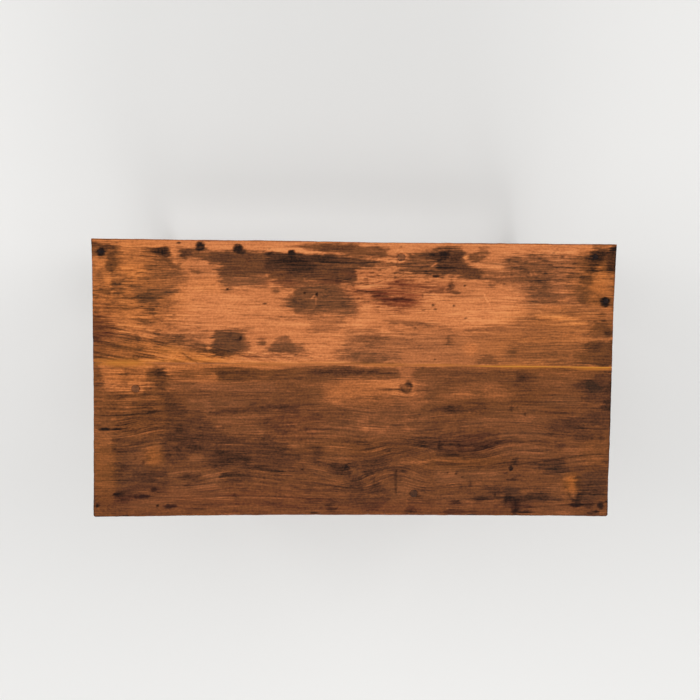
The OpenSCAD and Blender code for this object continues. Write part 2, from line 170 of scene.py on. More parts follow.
def combs(x, y, breaks, marks):
    """Patches of fine dark lines: (x, y, half length, half height, strength, slope, pitch)."""
    out = np.zeros_like(x)
    for i, (cx, cy, rx, ry, strength, slope, pitch) in enumerate(marks):
        near = (np.abs(x - cx) < rx * 1.8) & (np.abs(y - cy) < ry * 1.8)
        px, py = x[near], y[near]
        d = np.hypot((px - cx) / rx, (py - cy) / ry) + 0.2 * breaks[near]
        lines = rough(px, py - slope * (px - cx), 70, pitch, 301 + 7 * i, 3)
        out[near] += strength * smooth((1.5 - d) / 0.8) * (smooth((lines + 0.1) / 0.7) - 0.38)
    return out


def stroke(out, x, y, width, strength, points):
    """Lays one thin line over out, where it is the stronger. It thins out at its ends."""
    pairs = list(zip(points[:-1], points[1:]))
    lengths = [math.dist(a, b) for a, b in pairs]
    whole, gone, reach = sum(lengths), 0.0, width * 3
    for (a, b), length in zip(pairs, lengths):
        near = ((x > min(a[0], b[0]) - reach) & (x < max(a[0], b[0]) + reach)
                & (y > min(a[1], b[1]) - reach) & (y < max(a[1], b[1]) + reach))
        px, py = x[near] - a[0], y[near] - a[1]
        dx, dy = b[0] - a[0], b[1] - a[1]
        t = np.clip((px * dx + py * dy) / (length * length), 0, 1)
        d = np.hypot(px - t * dx, py - t * dy)
        place = (gone + t * length) / whole
        taper = np.clip(np.minimum(place, 1 - place) * 6 + 0.4, 0, 1)
        out[near] = np.maximum(out[near], strength * taper * np.exp(-(d / width) ** 2))
        gone += length


def strokes(x, y, marks):
    """Thin lines, as lists of points by (half width, strength)."""
    out = np.zeros_like(x)
    for (half_width, strength), lines in marks.items():
        for points in lines:
            # Drawn half a millimetre wider than it is, so that the cells of the top show it
            stroke(out, x, y, half_width + 0.5, strength, points)
    return out


# The outline of the top, worn and a little uneven, as the old one is

# The seam as points (x, y), and how far each edge has worn in, as points along it
SEAM_LINE = [(-570, 36.5), (-300, 36.0), (0, 36.5), (130, 35.5), (300, 33.5), (450, 33.0), (570, 32.0)]
FRONT_BOW = [(-570, 0), (-480, 1.4), (-320, 3.2), (-160, 4.4), (80, 4.0), (240, 3.2), (480, 1.8), (570, 0.2)]
BACK_BOW = [(-570, 0.3), (-320, 0.8), (-160, 0.4), (60, 2.2), (160, 1.6), (320, 0.8), (500, 0.6), (570, 0.0)]
LEFT_BOW = [(-303, 0.2), (-230, 1.4), (-120, 2.2), (0, 2.6), (120, 2.0), (230, 1.8), (303, 0.1)]
RIGHT_BOW = [(-303, 0.2), (-230, 2), (-100, 0.9), (-30, 1.4), (60, 2.2), (160, 2.7), (250, 1.2), (303, 0)]
CORNER_R = 5.0


def seam_y(x):
    """Where the seam lies across the top, at x."""
    return along(SEAM_LINE, x)


def worn_outline(x, y):
    """Moves places of a true rectangle to the worn outline of the top."""
    # The short edges wear in over the whole length, and the long ones within 60 mm of them
    side = smooth(np.abs(x) / HALF_LENGTH)
    bow_x = np.where(x < 0, along(LEFT_BOW, y), along(RIGHT_BOW, y)) + 0.35 * rough(y, x * 0, 17, 10, 41)
    bow_y = np.where(y < 0, along(FRONT_BOW, x), along(BACK_BOW, x)) + 0.4 * rough(x, y * 0, 23, 10, 43)
    new_x = x - np.sign(x) * np.clip(bow_x, 0, 6) * side
    new_y = y - np.sign(y) * np.clip(bow_y, 0, 6) * smooth((np.abs(y) - HALF_DEPTH + 60) / 60)
    # The two front corners are rounded
    cx, cy = HALF_LENGTH - CORNER_R, -HALF_DEPTH + CORNER_R
    dx, dy = np.abs(x) - cx, cy - y
    corner = (dx > 0) & (dy > 0)
    shrink = np.where(corner, np.maximum(dx, dy) / np.maximum(np.hypot(dx, dy), 1e-6), 1.0)
    new_x = np.where(corner, new_x - np.sign(x) * dx * (1 - shrink), new_x)
    new_y = np.where(corner, new_y + dy * (1 - shrink), new_y)
    return new_x, new_y


# The marks of age on the top. Places and sizes are in millimetres; darkness runs from 0, pale wood, to 1

# Stains and washes, painted one over the other: (darkness, softness, how olive, outline). An outline is a
# list of points, or an oval: (x, y, half length, half height)
BACK_BASE = 0.21
BACK_STAINS = [
    # Washes: the left end, the right end, the middle down to the seam, and the palest wood
    (.335, 14, .3, [(-590, 288), (-480, 283), (-440, 285), (-395, 262), (-362, 236), (-385, 205),
    (-405, 180), (-385, 152), (-425, 128), (-400, 112), (-335, 112), (-330, 60), (-400, 36), (-590, 34)]),
    (.322, 14, .7, [(322, 274), (480, 277), (590, 270), (590, 34), (235, 34), (250, 108), (330, 128),
    (362, 150), (372, 190), (330, 214), (318, 250)]), (.32, 13, .7, [(-20, 112), (80, 106), (200, 110),
    (340, 96), (340, 34), (-50, 34), (-35, 60)]), (.32, 8, .3, [(-105, 144), (-20, 142), (-40, 106),
    (-95, 104)]), (.16, 14, 0, [(150, 160), (200, 180), (270, 186), (340, 176), (372, 156), (330, 132),
    (230, 126), (120, 145)]), (.17, 12, 0, [(-372, 205), (-300, 208), (-230, 186), (-205, 150), (-260, 126),
    (-400, 128), (-372, 160)]), (.285, 10, .7, (405, 98, 105, 26)), (.27, 10, .5, (125, 52, 80, 20)),
    (.30, 9, .2, (-425, 100, 42, 30)), (.27, 9, .2, (212, 206, 56, 14)), (.27, 9, .4, (272, 244, 60, 14)),
    (.28, 9, .2, (-344, 240, 30, 16)), (.27, 8, .1, (62, 238, 34, 14)), (.43, 9, .2, (-546, 166, 26, 16)),
    (.17, 3, 0, [(-500, 304), (-500, 288), (-350, 286), (-320, 283), (-150, 287), (100, 288), (320, 282),
    (480, 282), (500, 304)]), (.07, 3, 0, [(182, 147), (250, 156), (352, 153), (330, 146), (230, 142)]),
    (.08, 3, 0, [(230, 137), (300, 141), (330, 132), (256, 123)]),
    # The top left corner and down the left end
    (.50, 6, .2, [(-590, 304), (-545, 299), (-515, 291), (-500, 270), (-518, 225), (-540, 240), (-545, 262),
    (-590, 264)]), (.72, 2.5, 0, (-562, 292, 8, 4)), (.74, 2, 0, [(-556, 292), (-530, 291), (-518, 286),
    (-521, 279), (-530, 281), (-548, 283)]), (.94, 2, 0, [(-560, 276), (-552, 285), (-545, 285),
    (-539, 276), (-544, 267), (-553, 267)]), (.75, 3, .1, [(-537, 264), (-530, 272), (-518, 277),
    (-514, 269), (-522, 260)]), (.64, 3.5, .2, [(-537, 262), (-518, 264), (-514, 250), (-520, 240),
    (-524, 229), (-532, 235), (-541, 250)]), (.72, 2, .2, (-531, 250, 4, 3)),
    (.42, 4, .5, (-556, 222, 12, 13)), (.53, 3, .5, (-555, 224, 6, 7)), (.43, 5, .6, [(-523, 228),
    (-500, 226), (-502, 196), (-522, 196)]), (.52, 3, .6, (-512, 219, 10, 4)),
    (.53, 3, .6, (-516, 205, 5, 4)), (.62, 2.5, .2, [(-566, 191), (-545, 197), (-526, 194), (-530, 187),
    (-562, 185)]), (.62, 2.5, .4, [(-521, 192), (-510, 197), (-497, 189), (-514, 185)]),
    (.53, 4, .2, [(-570, 190), (-552, 181), (-550, 166), (-570, 158)]), (.50, 4, .3, [(-528, 178),
    (-516, 178), (-516, 162), (-526, 165)]), (.44, 3, .1, [(-570, 166), (-500, 158), (-440, 158),
    (-440, 150), (-500, 146), (-570, 138)]), (.64, 3, .1, [(-572, 158), (-551, 158), (-552, 144),
    (-570, 142)]), (.55, 4, .1, [(-546, 157), (-522, 155), (-516, 149), (-530, 145), (-546, 147)]),
    (.26, 4, 0, [(-516, 248), (-460, 250), (-448, 236), (-448, 219), (-480, 216), (-505, 228)]),
    (.22, 3, 0, (-535, 212, 6, 8)), (.26, 3, 0, (-552, 250, 8, 8)), (.27, 2.5, 0, (-532, 178, 9, 3)),
    (.26, 2.5, 0, (-484, 165, 14, 4)), (.27, 3, 0, [(-500, 142), (-430, 143), (-430, 131), (-490, 134)]),
    (.27, 3, 0, (-482, 117, 24, 5)), (.24, 3, 0, (-414, 178, 12, 4)), (.52, 7, .3, [(-590, 84), (-540, 100),
    (-500, 104), (-470, 84), (-440, 60), (-440, 44), (-480, 42), (-560, 40), (-590, 34)]),
    (.64, 5, 0, [(-590, 137), (-540, 136), (-530, 124), (-518, 112), (-500, 110), (-520, 102), (-526, 84),
    (-560, 76), (-590, 78)]), (.72, 3.5, 0, (-553, 115, 13, 5)), (.62, 3, .2, (-552, 66, 10, 3.5)),
    (.61, 3, .2, (-500, 68, 9, 3)), (.61, 3, .6, (-470, 66, 7, 4)), (.64, 2.5, .3, (-475, 49, 8, 3)),
    (.61, 3, .1, (-556, 52, 7, 5)), (.54, 2.5, .3, [(-479, 106), (-470, 104), (-466, 87), (-474, 83),
    (-477, 94)]), (.46, 3, .4, (-430, 104, 7, 5)),
    # Round the large knot and below it
    (.44, 8, .6, [(-480, 208), (-430, 213), (-400, 204), (-368, 222), (-380, 240), (-398, 263), (-446, 258),
    (-452, 236)]), (.55, 5, .4, [(-456, 250), (-430, 262), (-405, 263), (-384, 256), (-379, 237),
    (-420, 238), (-432, 248)]), (.64, 3.5, .2, [(-418, 263), (-402, 263), (-397, 250), (-380, 246),
    (-381, 239), (-408, 242)]), (.54, 3.5, .6, (-408, 228, 10, 5)), (.54, 3, .4, (-380, 228, 6, 4)),
    (.28, 2, 0, [(-403, 263), (-394, 260), (-386, 254), (-392, 250), (-400, 256)]),
    (.47, 6, .8, [(-484, 202), (-455, 204), (-420, 204), (-390, 201), (-384, 194), (-396, 184), (-424, 181),
    (-430, 165), (-470, 165), (-474, 184)]), (.55, 3.5, .9, [(-442, 200), (-402, 196), (-400, 188),
    (-424, 185), (-444, 192)]), (.58, 3.5, .8, [(-470, 184), (-438, 185), (-434, 174), (-438, 166),
    (-466, 169)]), (.62, 3, .5, (-457, 175, 5, 4)), (.57, 3, .5, [(-466, 152), (-446, 158), (-436, 152),
    (-433, 144), (-448, 146)]), (.66, 2.5, .4, (-445, 152, 8, 3)), (.50, 2.5, .3, (-436, 143, 4, 5)),
    (.44, 3, .5, (-450, 124, 11, 5)), (.50, 4, .1, (-445, 276, 16, 8)), (.84, 2.5, 0, [(-447, 282),
    (-432, 286), (-414, 289), (-403, 281), (-401, 270), (-411, 264), (-424, 267), (-437, 275)]),
    (.96, 2.5, 0, [(-431, 282), (-417, 286), (-408, 280), (-411, 273), (-422, 273)]),
    (.46, 5, .3, [(-386, 284), (-325, 282), (-318, 262), (-350, 261), (-386, 258)]),
    (.60, 4, .1, [(-362, 283), (-330, 282), (-305, 279), (-305, 268), (-330, 262), (-345, 268),
    (-358, 274)]), (.72, 2.5, .1, [(-383, 281), (-366, 284), (-356, 276), (-352, 268), (-372, 262),
    (-380, 268)]), (.82, 3, .1, (-372, 272, 5, 5)), (.55, 2.5, .1, [(-364, 241), (-348, 240), (-330, 235),
    (-334, 231), (-352, 234)]),
    # The plum-brown band beside the nail holes
    (.46, 6, .9, [(-302, 236), (-192, 228), (-192, 206), (-262, 203), (-280, 194), (-294, 208)]),
    (.66, 6, .4, [(-329, 268), (-314, 278), (-262, 280), (-188, 279), (-188, 228), (-225, 222), (-262, 221),
    (-298, 225), (-303, 238), (-292, 247), (-300, 252), (-320, 252)]), (.73, 4, .4, [(-319, 273),
    (-262, 276), (-262, 267), (-282, 260), (-314, 262)]), (.71, 4, 0, [(-237, 271), (-227, 270),
    (-232, 250), (-243, 247)]), (.70, 4, 0, [(-267, 248), (-256, 246), (-250, 237), (-262, 229)]),
    # The black band and what it fades to
    (.54, 6, .5, [(-182, 228), (0, 230), (-10, 211), (-60, 206), (-110, 208), (-160, 206), (-180, 209)]),
    (.54, 5, .1, [(-10, 274), (30, 268), (60, 260), (106, 256), (106, 245), (60, 248), (20, 247),
    (-10, 246)]), (.50, 2.5, 0, [(-10, 277), (60, 277), (104, 273), (104, 269), (60, 270), (-10, 268)]),
    (.73, 4, .4, [(-197, 278), (-60, 277), (0, 272), (38, 262), (34, 253), (2, 247), (-4, 238), (0, 222),
    (-20, 217), (-60, 214), (-100, 218), (-192, 219), (-199, 230)]), (.64, 4, 0, [(-198, 240), (-152, 240),
    (-140, 229), (-160, 220), (-198, 221)]), (.65, 4, .1, (-66, 230, 14, 5)),
    (.65, 4, .1, (-28, 236, 12, 7)), (.86, 4.5, .3, [(-196, 277.5), (-90, 275.5), (-20, 266), (-11, 256),
    (-40, 253), (-85, 256), (-90, 238), (-130, 232), (-150, 240), (-162, 247), (-197, 248)]),
    (.94, 5, 0, [(-174, 262), (-155, 268), (-130, 268), (-104, 265), (-104, 257), (-130, 250), (-150, 252),
    (-176, 256)]), (.57, 3, .1, [(-148, 293), (-80, 298), (0, 297), (44, 294), (68, 288), (60, 280),
    (0, 276), (-50, 278), (-90, 284), (-132, 288)]), (.68, 2.5, 0, [(-78, 296), (-10, 295), (-6, 287),
    (-40, 284), (-74, 286)]), (.15, 1.5, 0, [(-196, 285), (-164, 293), (-152, 283), (-130, 289),
    (-105, 284), (-78, 280), (-100, 279), (-200, 279.5)]),
    # The olive block under it
    (.44, 7, .6, [(-162, 166), (-125, 151), (-60, 149), (-40, 141), (0, 144), (6, 165), (-10, 192),
    (-40, 212), (-130, 212)]), (.55, 6, .8, [(-148, 170), (-140, 182), (-126, 194), (-122, 206), (-60, 214),
    (-38, 206), (-35, 190), (-15, 175), (-10, 160), (-20, 153), (-60, 158), (-80, 152), (-110, 156),
    (-130, 153), (-146, 160)]), (.64, 5, .8, [(-138, 176), (-100, 182), (-100, 166), (-118, 160),
    (-134, 162)]), (.62, 4, .7, (-112, 193, 10, 7)), (.17, 3, 0, [(-158, 186), (-141, 200), (-132, 197),
    (-137, 188)]), (.44, 4, .4, (-177, 200, 8, 8)), (.61, 3, .6, (-28, 165, 8, 4)),
    # The red stain and the specks round it
    (.42, 7, 0, [(-10, 200), (30, 200), (60, 206), (90, 218), (124, 219), (150, 208), (142, 186),
    (130, 168), (90, 156), (50, 162), (10, 168)]), (.50, 4, 0, [(50, 192), (70, 199), (100, 202),
    (124, 192), (128, 176), (108, 163), (80, 163), (56, 170)]), (.61, 4, 0, [(60, 172), (72, 184),
    (96, 190), (116, 184), (122, 175), (106, 165), (84, 167), (68, 168)]), (.72, 3, 0, [(76, 181),
    (100, 182), (118, 180), (110, 174), (96, 171), (80, 171)]), (.59, 1.5, 0, [(2, 197), (30, 198),
    (57, 197), (52, 193), (18, 193)]), (.58, 1.5, 0, [(34, 187), (64, 188), (70, 183), (38, 182)]),
    (.54, 2, 0, [(2, 176), (28, 178), (36, 173), (8, 171)]), (.50, 3, 0, [(70, 217), (122, 218), (120, 211),
    (96, 211), (72, 212)]), (.12, 2.5, 0, [(6, 210), (36, 210), (45, 203), (30, 198), (8, 200)]),
    (.24, 2.5, 0, (24, 186, 8, 4)), (.50, 4, .1, [(140, 190), (158, 206), (190, 206), (190, 196),
    (150, 191)]), (.60, 2.5, .1, [(196, 212), (209, 221), (214, 206), (206, 196), (196, 200)]),
    (.54, 2.5, .1, [(204, 198), (222, 200), (225, 194), (214, 190)]),
    # The middle, down to the seam
    (.44, 4, .6, [(-10, 96), (20, 109), (40, 109), (76, 96), (60, 85), (20, 83), (-8, 86)]),
    (.56, 3, .3, [(6, 96.5), (30, 99), (60, 96), (50, 91), (24, 90)]), (.40, 6, .7, [(6, 80), (40, 86),
    (58, 76), (44, 67), (8, 70)]), (.42, 6, .9, [(-20, 58), (10, 67), (50, 65), (98, 60), (92, 45),
    (60, 43), (20, 38), (-10, 45)]), (.54, 3, .8, (3, 57, 8, 4)), (.54, 3, .8, (33, 55, 9, 4)),
    (.54, 3, .7, (66, 48, 10, 4)), (.54, 2.5, .5, (18, 43, 7, 4)), (.10, 4, 0, [(-10, 126), (5, 138),
    (20, 132), (24, 122), (0, 117)]), (.12, 3, 0, (62, 112, 10, 7)), (.14, 3, 0, (22, 152, 12, 5)),
    (.12, 5, 0, [(-190, 128), (-170, 131), (-110, 126), (-100, 120), (-130, 114), (-190, 121)]),
    (.15, 4, 0, (-70, 76, 14, 5)), (.15, 5, 0, (-186, 153, 18, 7)), (.42, 3, .3, (-140, 137, 46, 3)),
    (.41, 3, .2, (108, 129, 20, 2)), (.39, 3.5, .4, (150, 124, 34, 4)), (.44, 3.5, .7, [(-197, 68),
    (-180, 86), (-160, 98), (-148, 97), (-142, 82), (-118, 78), (-104, 68), (-130, 55), (-150, 55)]),
    (.55, 4, .9, [(-186, 66), (-176, 82), (-158, 83), (-138, 78), (-130, 68), (-138, 58), (-160, 63)]),
    (.65, 2, .5, [(-159, 67), (-142, 65), (-136, 60), (-144, 58)]), (.50, 2.5, .5, (-119, 70, 4, 8)),
    (.40, 4, .3, (-204, 84, 8, 10)), (.54, 2.5, .3, (-203, 84, 5, 6)), (.43, 3, .7, [(100, 93), (120, 96),
    (128, 90), (110, 86)]), (.44, 4, .4, (204, 92, 17, 12)), (.60, 3, .4, (203, 90, 8, 8)),
    (.53, 4, .7, [(262, 44), (275, 56), (290, 66), (302, 58), (318, 46), (310, 38), (270, 38)]),
    (.28, 5, 0, (250, 72, 15, 15)), (.43, 5, .3, (-180, 56, 34, 4)),
    # The round stain and the brown drag of it to the left
    (.365, 6, .5, [(-445, 96), (-380, 104), (-338, 92), (-318, 60), (-350, 56), (-372, 66), (-420, 72),
    (-460, 62), (-440, 80)]), (.54, 3.5, .5, [(-447, 90), (-420, 88), (-400, 88), (-376, 90), (-372, 80),
    (-400, 78), (-420, 81)]), (.57, 3, .3, (-381, 96, 9, 5)), (.55, 4, .4, [(-364, 76), (-350, 86),
    (-336, 82), (-318, 68), (-340, 63)]), (.25, 4, 0, [(-408, 60), (-380, 62), (-366, 48), (-350, 41),
    (-405, 41)]), (.50, 4, .3, [(-318, 72), (-306, 88), (-304, 108), (-262, 114), (-242, 102), (-238, 84),
    (-228, 76), (-236, 62), (-260, 54), (-290, 48), (-312, 56)]), (.635, 5, .8, [(-322, 68), (-312, 82),
    (-308, 98), (-301, 105), (-282, 108), (-272, 112), (-260, 109), (-250, 99), (-246, 84), (-242, 74),
    (-248, 66), (-262, 62), (-276, 53), (-290, 51), (-308, 58)]), (.72, 4, .4, [(-318, 66), (-300, 72),
    (-282, 67), (-275, 58), (-290, 54), (-306, 58)]), (.80, 2.5, .2, (-292, 59, 9, 3)),
    (.76, 2.5, .3, (-254, 91, 4.5, 5.5)), (.70, 3.5, .5, (-273, 101, 8, 5)), (.69, 4, .6, (-290, 80, 8, 6)),
    (.57, 3, .9, (-298, 93, 9, 4)), (.44, 3, .2, (-243, 109, 11, 5)),
    # Right of the middle
    (.60, 4, .4, [(112, 276), (150, 285), (170, 290), (200, 293), (228, 289), (240, 280), (240, 262),
    (262, 246), (280, 242), (270, 230), (258, 225), (230, 227), (200, 233), (160, 236), (100, 240),
    (84, 243), (106, 250), (104, 262), (112, 266)]), (.76, 3.5, .3, [(156, 283), (190, 289), (228, 281),
    (232, 262), (250, 251), (272, 242), (262, 230), (232, 236), (180, 238), (171, 250), (176, 262),
    (158, 272)]), (.87, 3, 0, [(158, 278), (176, 286), (200, 287), (206, 275), (190, 266), (170, 266)]),
    (.84, 3, 0, [(200, 281), (228, 281), (230, 266), (212, 260), (203, 262)]), (.85, 3.5, .1, [(179, 256),
    (200, 256), (206, 248), (190, 241), (177, 246)]), (.24, 2, 0, (238, 272, 6, 4.5)),
    (.60, 3, .1, [(242, 283), (276, 281), (282, 270), (262, 263), (242, 266)]), (.46, 3, .2, [(262, 284),
    (270, 294), (288, 293), (288, 276), (268, 278)]), (.17, 2.5, 0, [(240, 256.5), (270, 258), (318, 254),
    (323, 246), (300, 245), (270, 250), (246, 252)]), (.50, 4, .4, [(222, 228), (290, 233), (340, 232),
    (372, 226), (366, 216), (330, 216), (290, 221), (236, 223)]), (.44, 4, .4, (294, 214, 7, 7)),
    (.44, 8, .5, [(325, 268), (345, 277), (400, 278), (500, 271), (520, 246), (532, 170), (480, 171),
    (400, 173), (378, 182), (374, 212), (330, 222), (318, 245)]), (.54, 6, .5, [(334, 262), (372, 274),
    (400, 276), (434, 268), (432, 250), (452, 240), (430, 235), (416, 222), (424, 208), (400, 200),
    (382, 202), (378, 216), (350, 222), (340, 236)]), (.62, 4, .5, [(394, 226), (420, 226), (413, 210),
    (398, 216)]), (.61, 3, .3, (384, 270, 5, 4)), (.61, 3, .3, (408, 265, 16, 3)),
    (.62, 3, .3, (466, 234, 6, 5)), (.54, 4, .7, [(380, 196), (400, 199), (446, 196), (448, 188),
    (420, 182), (396, 181), (386, 188)]), (.62, 3, .6, (413, 194, 7, 3)), (.25, 3, 0, (455, 200, 20, 3)),
    (.33, 3, .2, (470, 220, 22, 4)), (.20, 2.5, 0, (455, 180, 11, 3.5)), (.30, 3, 0, (430, 165, 34, 4)),
    (.52, 5, .4, [(484, 190), (496, 206), (514, 202), (520, 184), (530, 172), (506, 168), (490, 174)]),
    (.65, 3.5, .5, [(487, 188), (497, 202), (512, 200), (517, 186), (508, 176), (493, 176)]),
    (.72, 3, .3, (503, 190, 4, 6)), (.65, 3.5, .3, [(486, 222), (494, 238), (512, 232), (522, 222),
    (510, 216)]), (.55, 5, .4, (490, 208, 12, 8)),
    # The right end: nails, corner and lower end
    (.58, 6, .1, [(470, 270), (500, 286), (520, 299), (590, 304), (590, 243), (540, 236), (515, 240),
    (492, 256), (476, 258)]), (.74, 3, .2, [(496, 240), (500, 247), (528, 250), (530, 243), (514, 237)]),
    (.27, 4, 0, [(520, 232), (530, 240), (545, 240), (546, 230), (530, 226)]),
    (.37, 3, 0, (532, 252, 9, 5)), (.34, 6, 0, (535, 212, 20, 16)), (.82, 3.5, 0, [(504, 268), (511, 288),
    (528, 296), (549, 292), (546, 276), (540, 262), (528, 254), (513, 253)]), (.95, 3, 0, [(511, 277),
    (518, 286), (538, 289), (544, 280), (534, 268), (524, 261), (517, 268)]), (.82, 3, 0, [(545, 284),
    (552, 300), (590, 304), (590, 239), (557, 243), (548, 254), (546, 270)]), (.97, 2.5, 0, [(547, 288),
    (554, 299), (567, 301), (567, 288), (558, 280)]), (.94, 2.5, 0, (558, 251, 8, 4)),
    (.74, 3, 0, (548, 273, 3, 5)), (.50, 5, .2, [(558, 240), (590, 240), (590, 150), (560, 160)]),
    (.50, 4, .1, (536, 182, 26, 12)), (.97, 2, 0, [(537, 180), (547, 188), (559, 183), (558, 173),
    (550, 167), (540, 173)]), (.24, 3, 0, (554, 160, 9, 4)), (.55, 3, 0, [(534, 148), (544, 156),
    (551, 150), (547, 141), (534, 142)]), (.12, 3, 0, [(396, 146), (450, 147), (492, 142), (478, 136),
    (450, 138), (402, 141)]), (.16, 2.5, 0, (480, 130, 20, 3)), (.27, 2.5, 0, (484, 103.5, 24, 2)),
    (.50, 5, .4, [(508, 104), (513, 124), (528, 136), (590, 138), (590, 94), (530, 98)]),
    (.64, 3, .3, [(516, 116), (530, 131), (550, 136), (557, 122), (568, 112), (564, 106), (548, 108),
    (532, 114)]), (.72, 2.5, .2, (541, 123, 6, 3)), (.77, 2, 0, [(545, 113), (556, 119), (568, 110),
    (560, 105), (549, 108)]), (.385, 7, .9, [(338, 84), (420, 85), (505, 88), (505, 38), (440, 38),
    (328, 41), (322, 62)]), (.55, 3.5, .8, (344, 68, 7, 9)), (.36, 7, .8, [(362, 112), (410, 119),
    (452, 114), (454, 98), (364, 98)]), (.54, 4, .6, (460, 62, 6, 4)), (.54, 4, .6, (446, 53, 8, 4)),
    (.54, 5, .5, [(484, 70), (504, 68), (508, 46), (484, 42)]), (.63, 4, .4, [(500, 82), (520, 93),
    (566, 92), (590, 90), (590, 34), (530, 38), (498, 44), (496, 62), (508, 68)]), (.71, 4, .3, [(518, 86),
    (540, 91), (546, 78), (530, 70), (514, 74)]), (.72, 4, .2, [(542, 60), (558, 60), (567, 44), (560, 36),
    (540, 40), (528, 52)]), (.70, 3, .1, [(590, 92), (561, 90), (560, 66), (590, 66)]),
    (.52, 4, .2, [(268, 247), (292, 245), (332, 240), (332, 229), (268, 228)]), (.74, 4, .1, [(222, 252),
    (262, 250), (280, 243), (264, 226), (222, 229)]), (.58, 4, 0, [(-62, 279), (0, 285), (60, 285),
    (60, 268), (-10, 270)]),
]

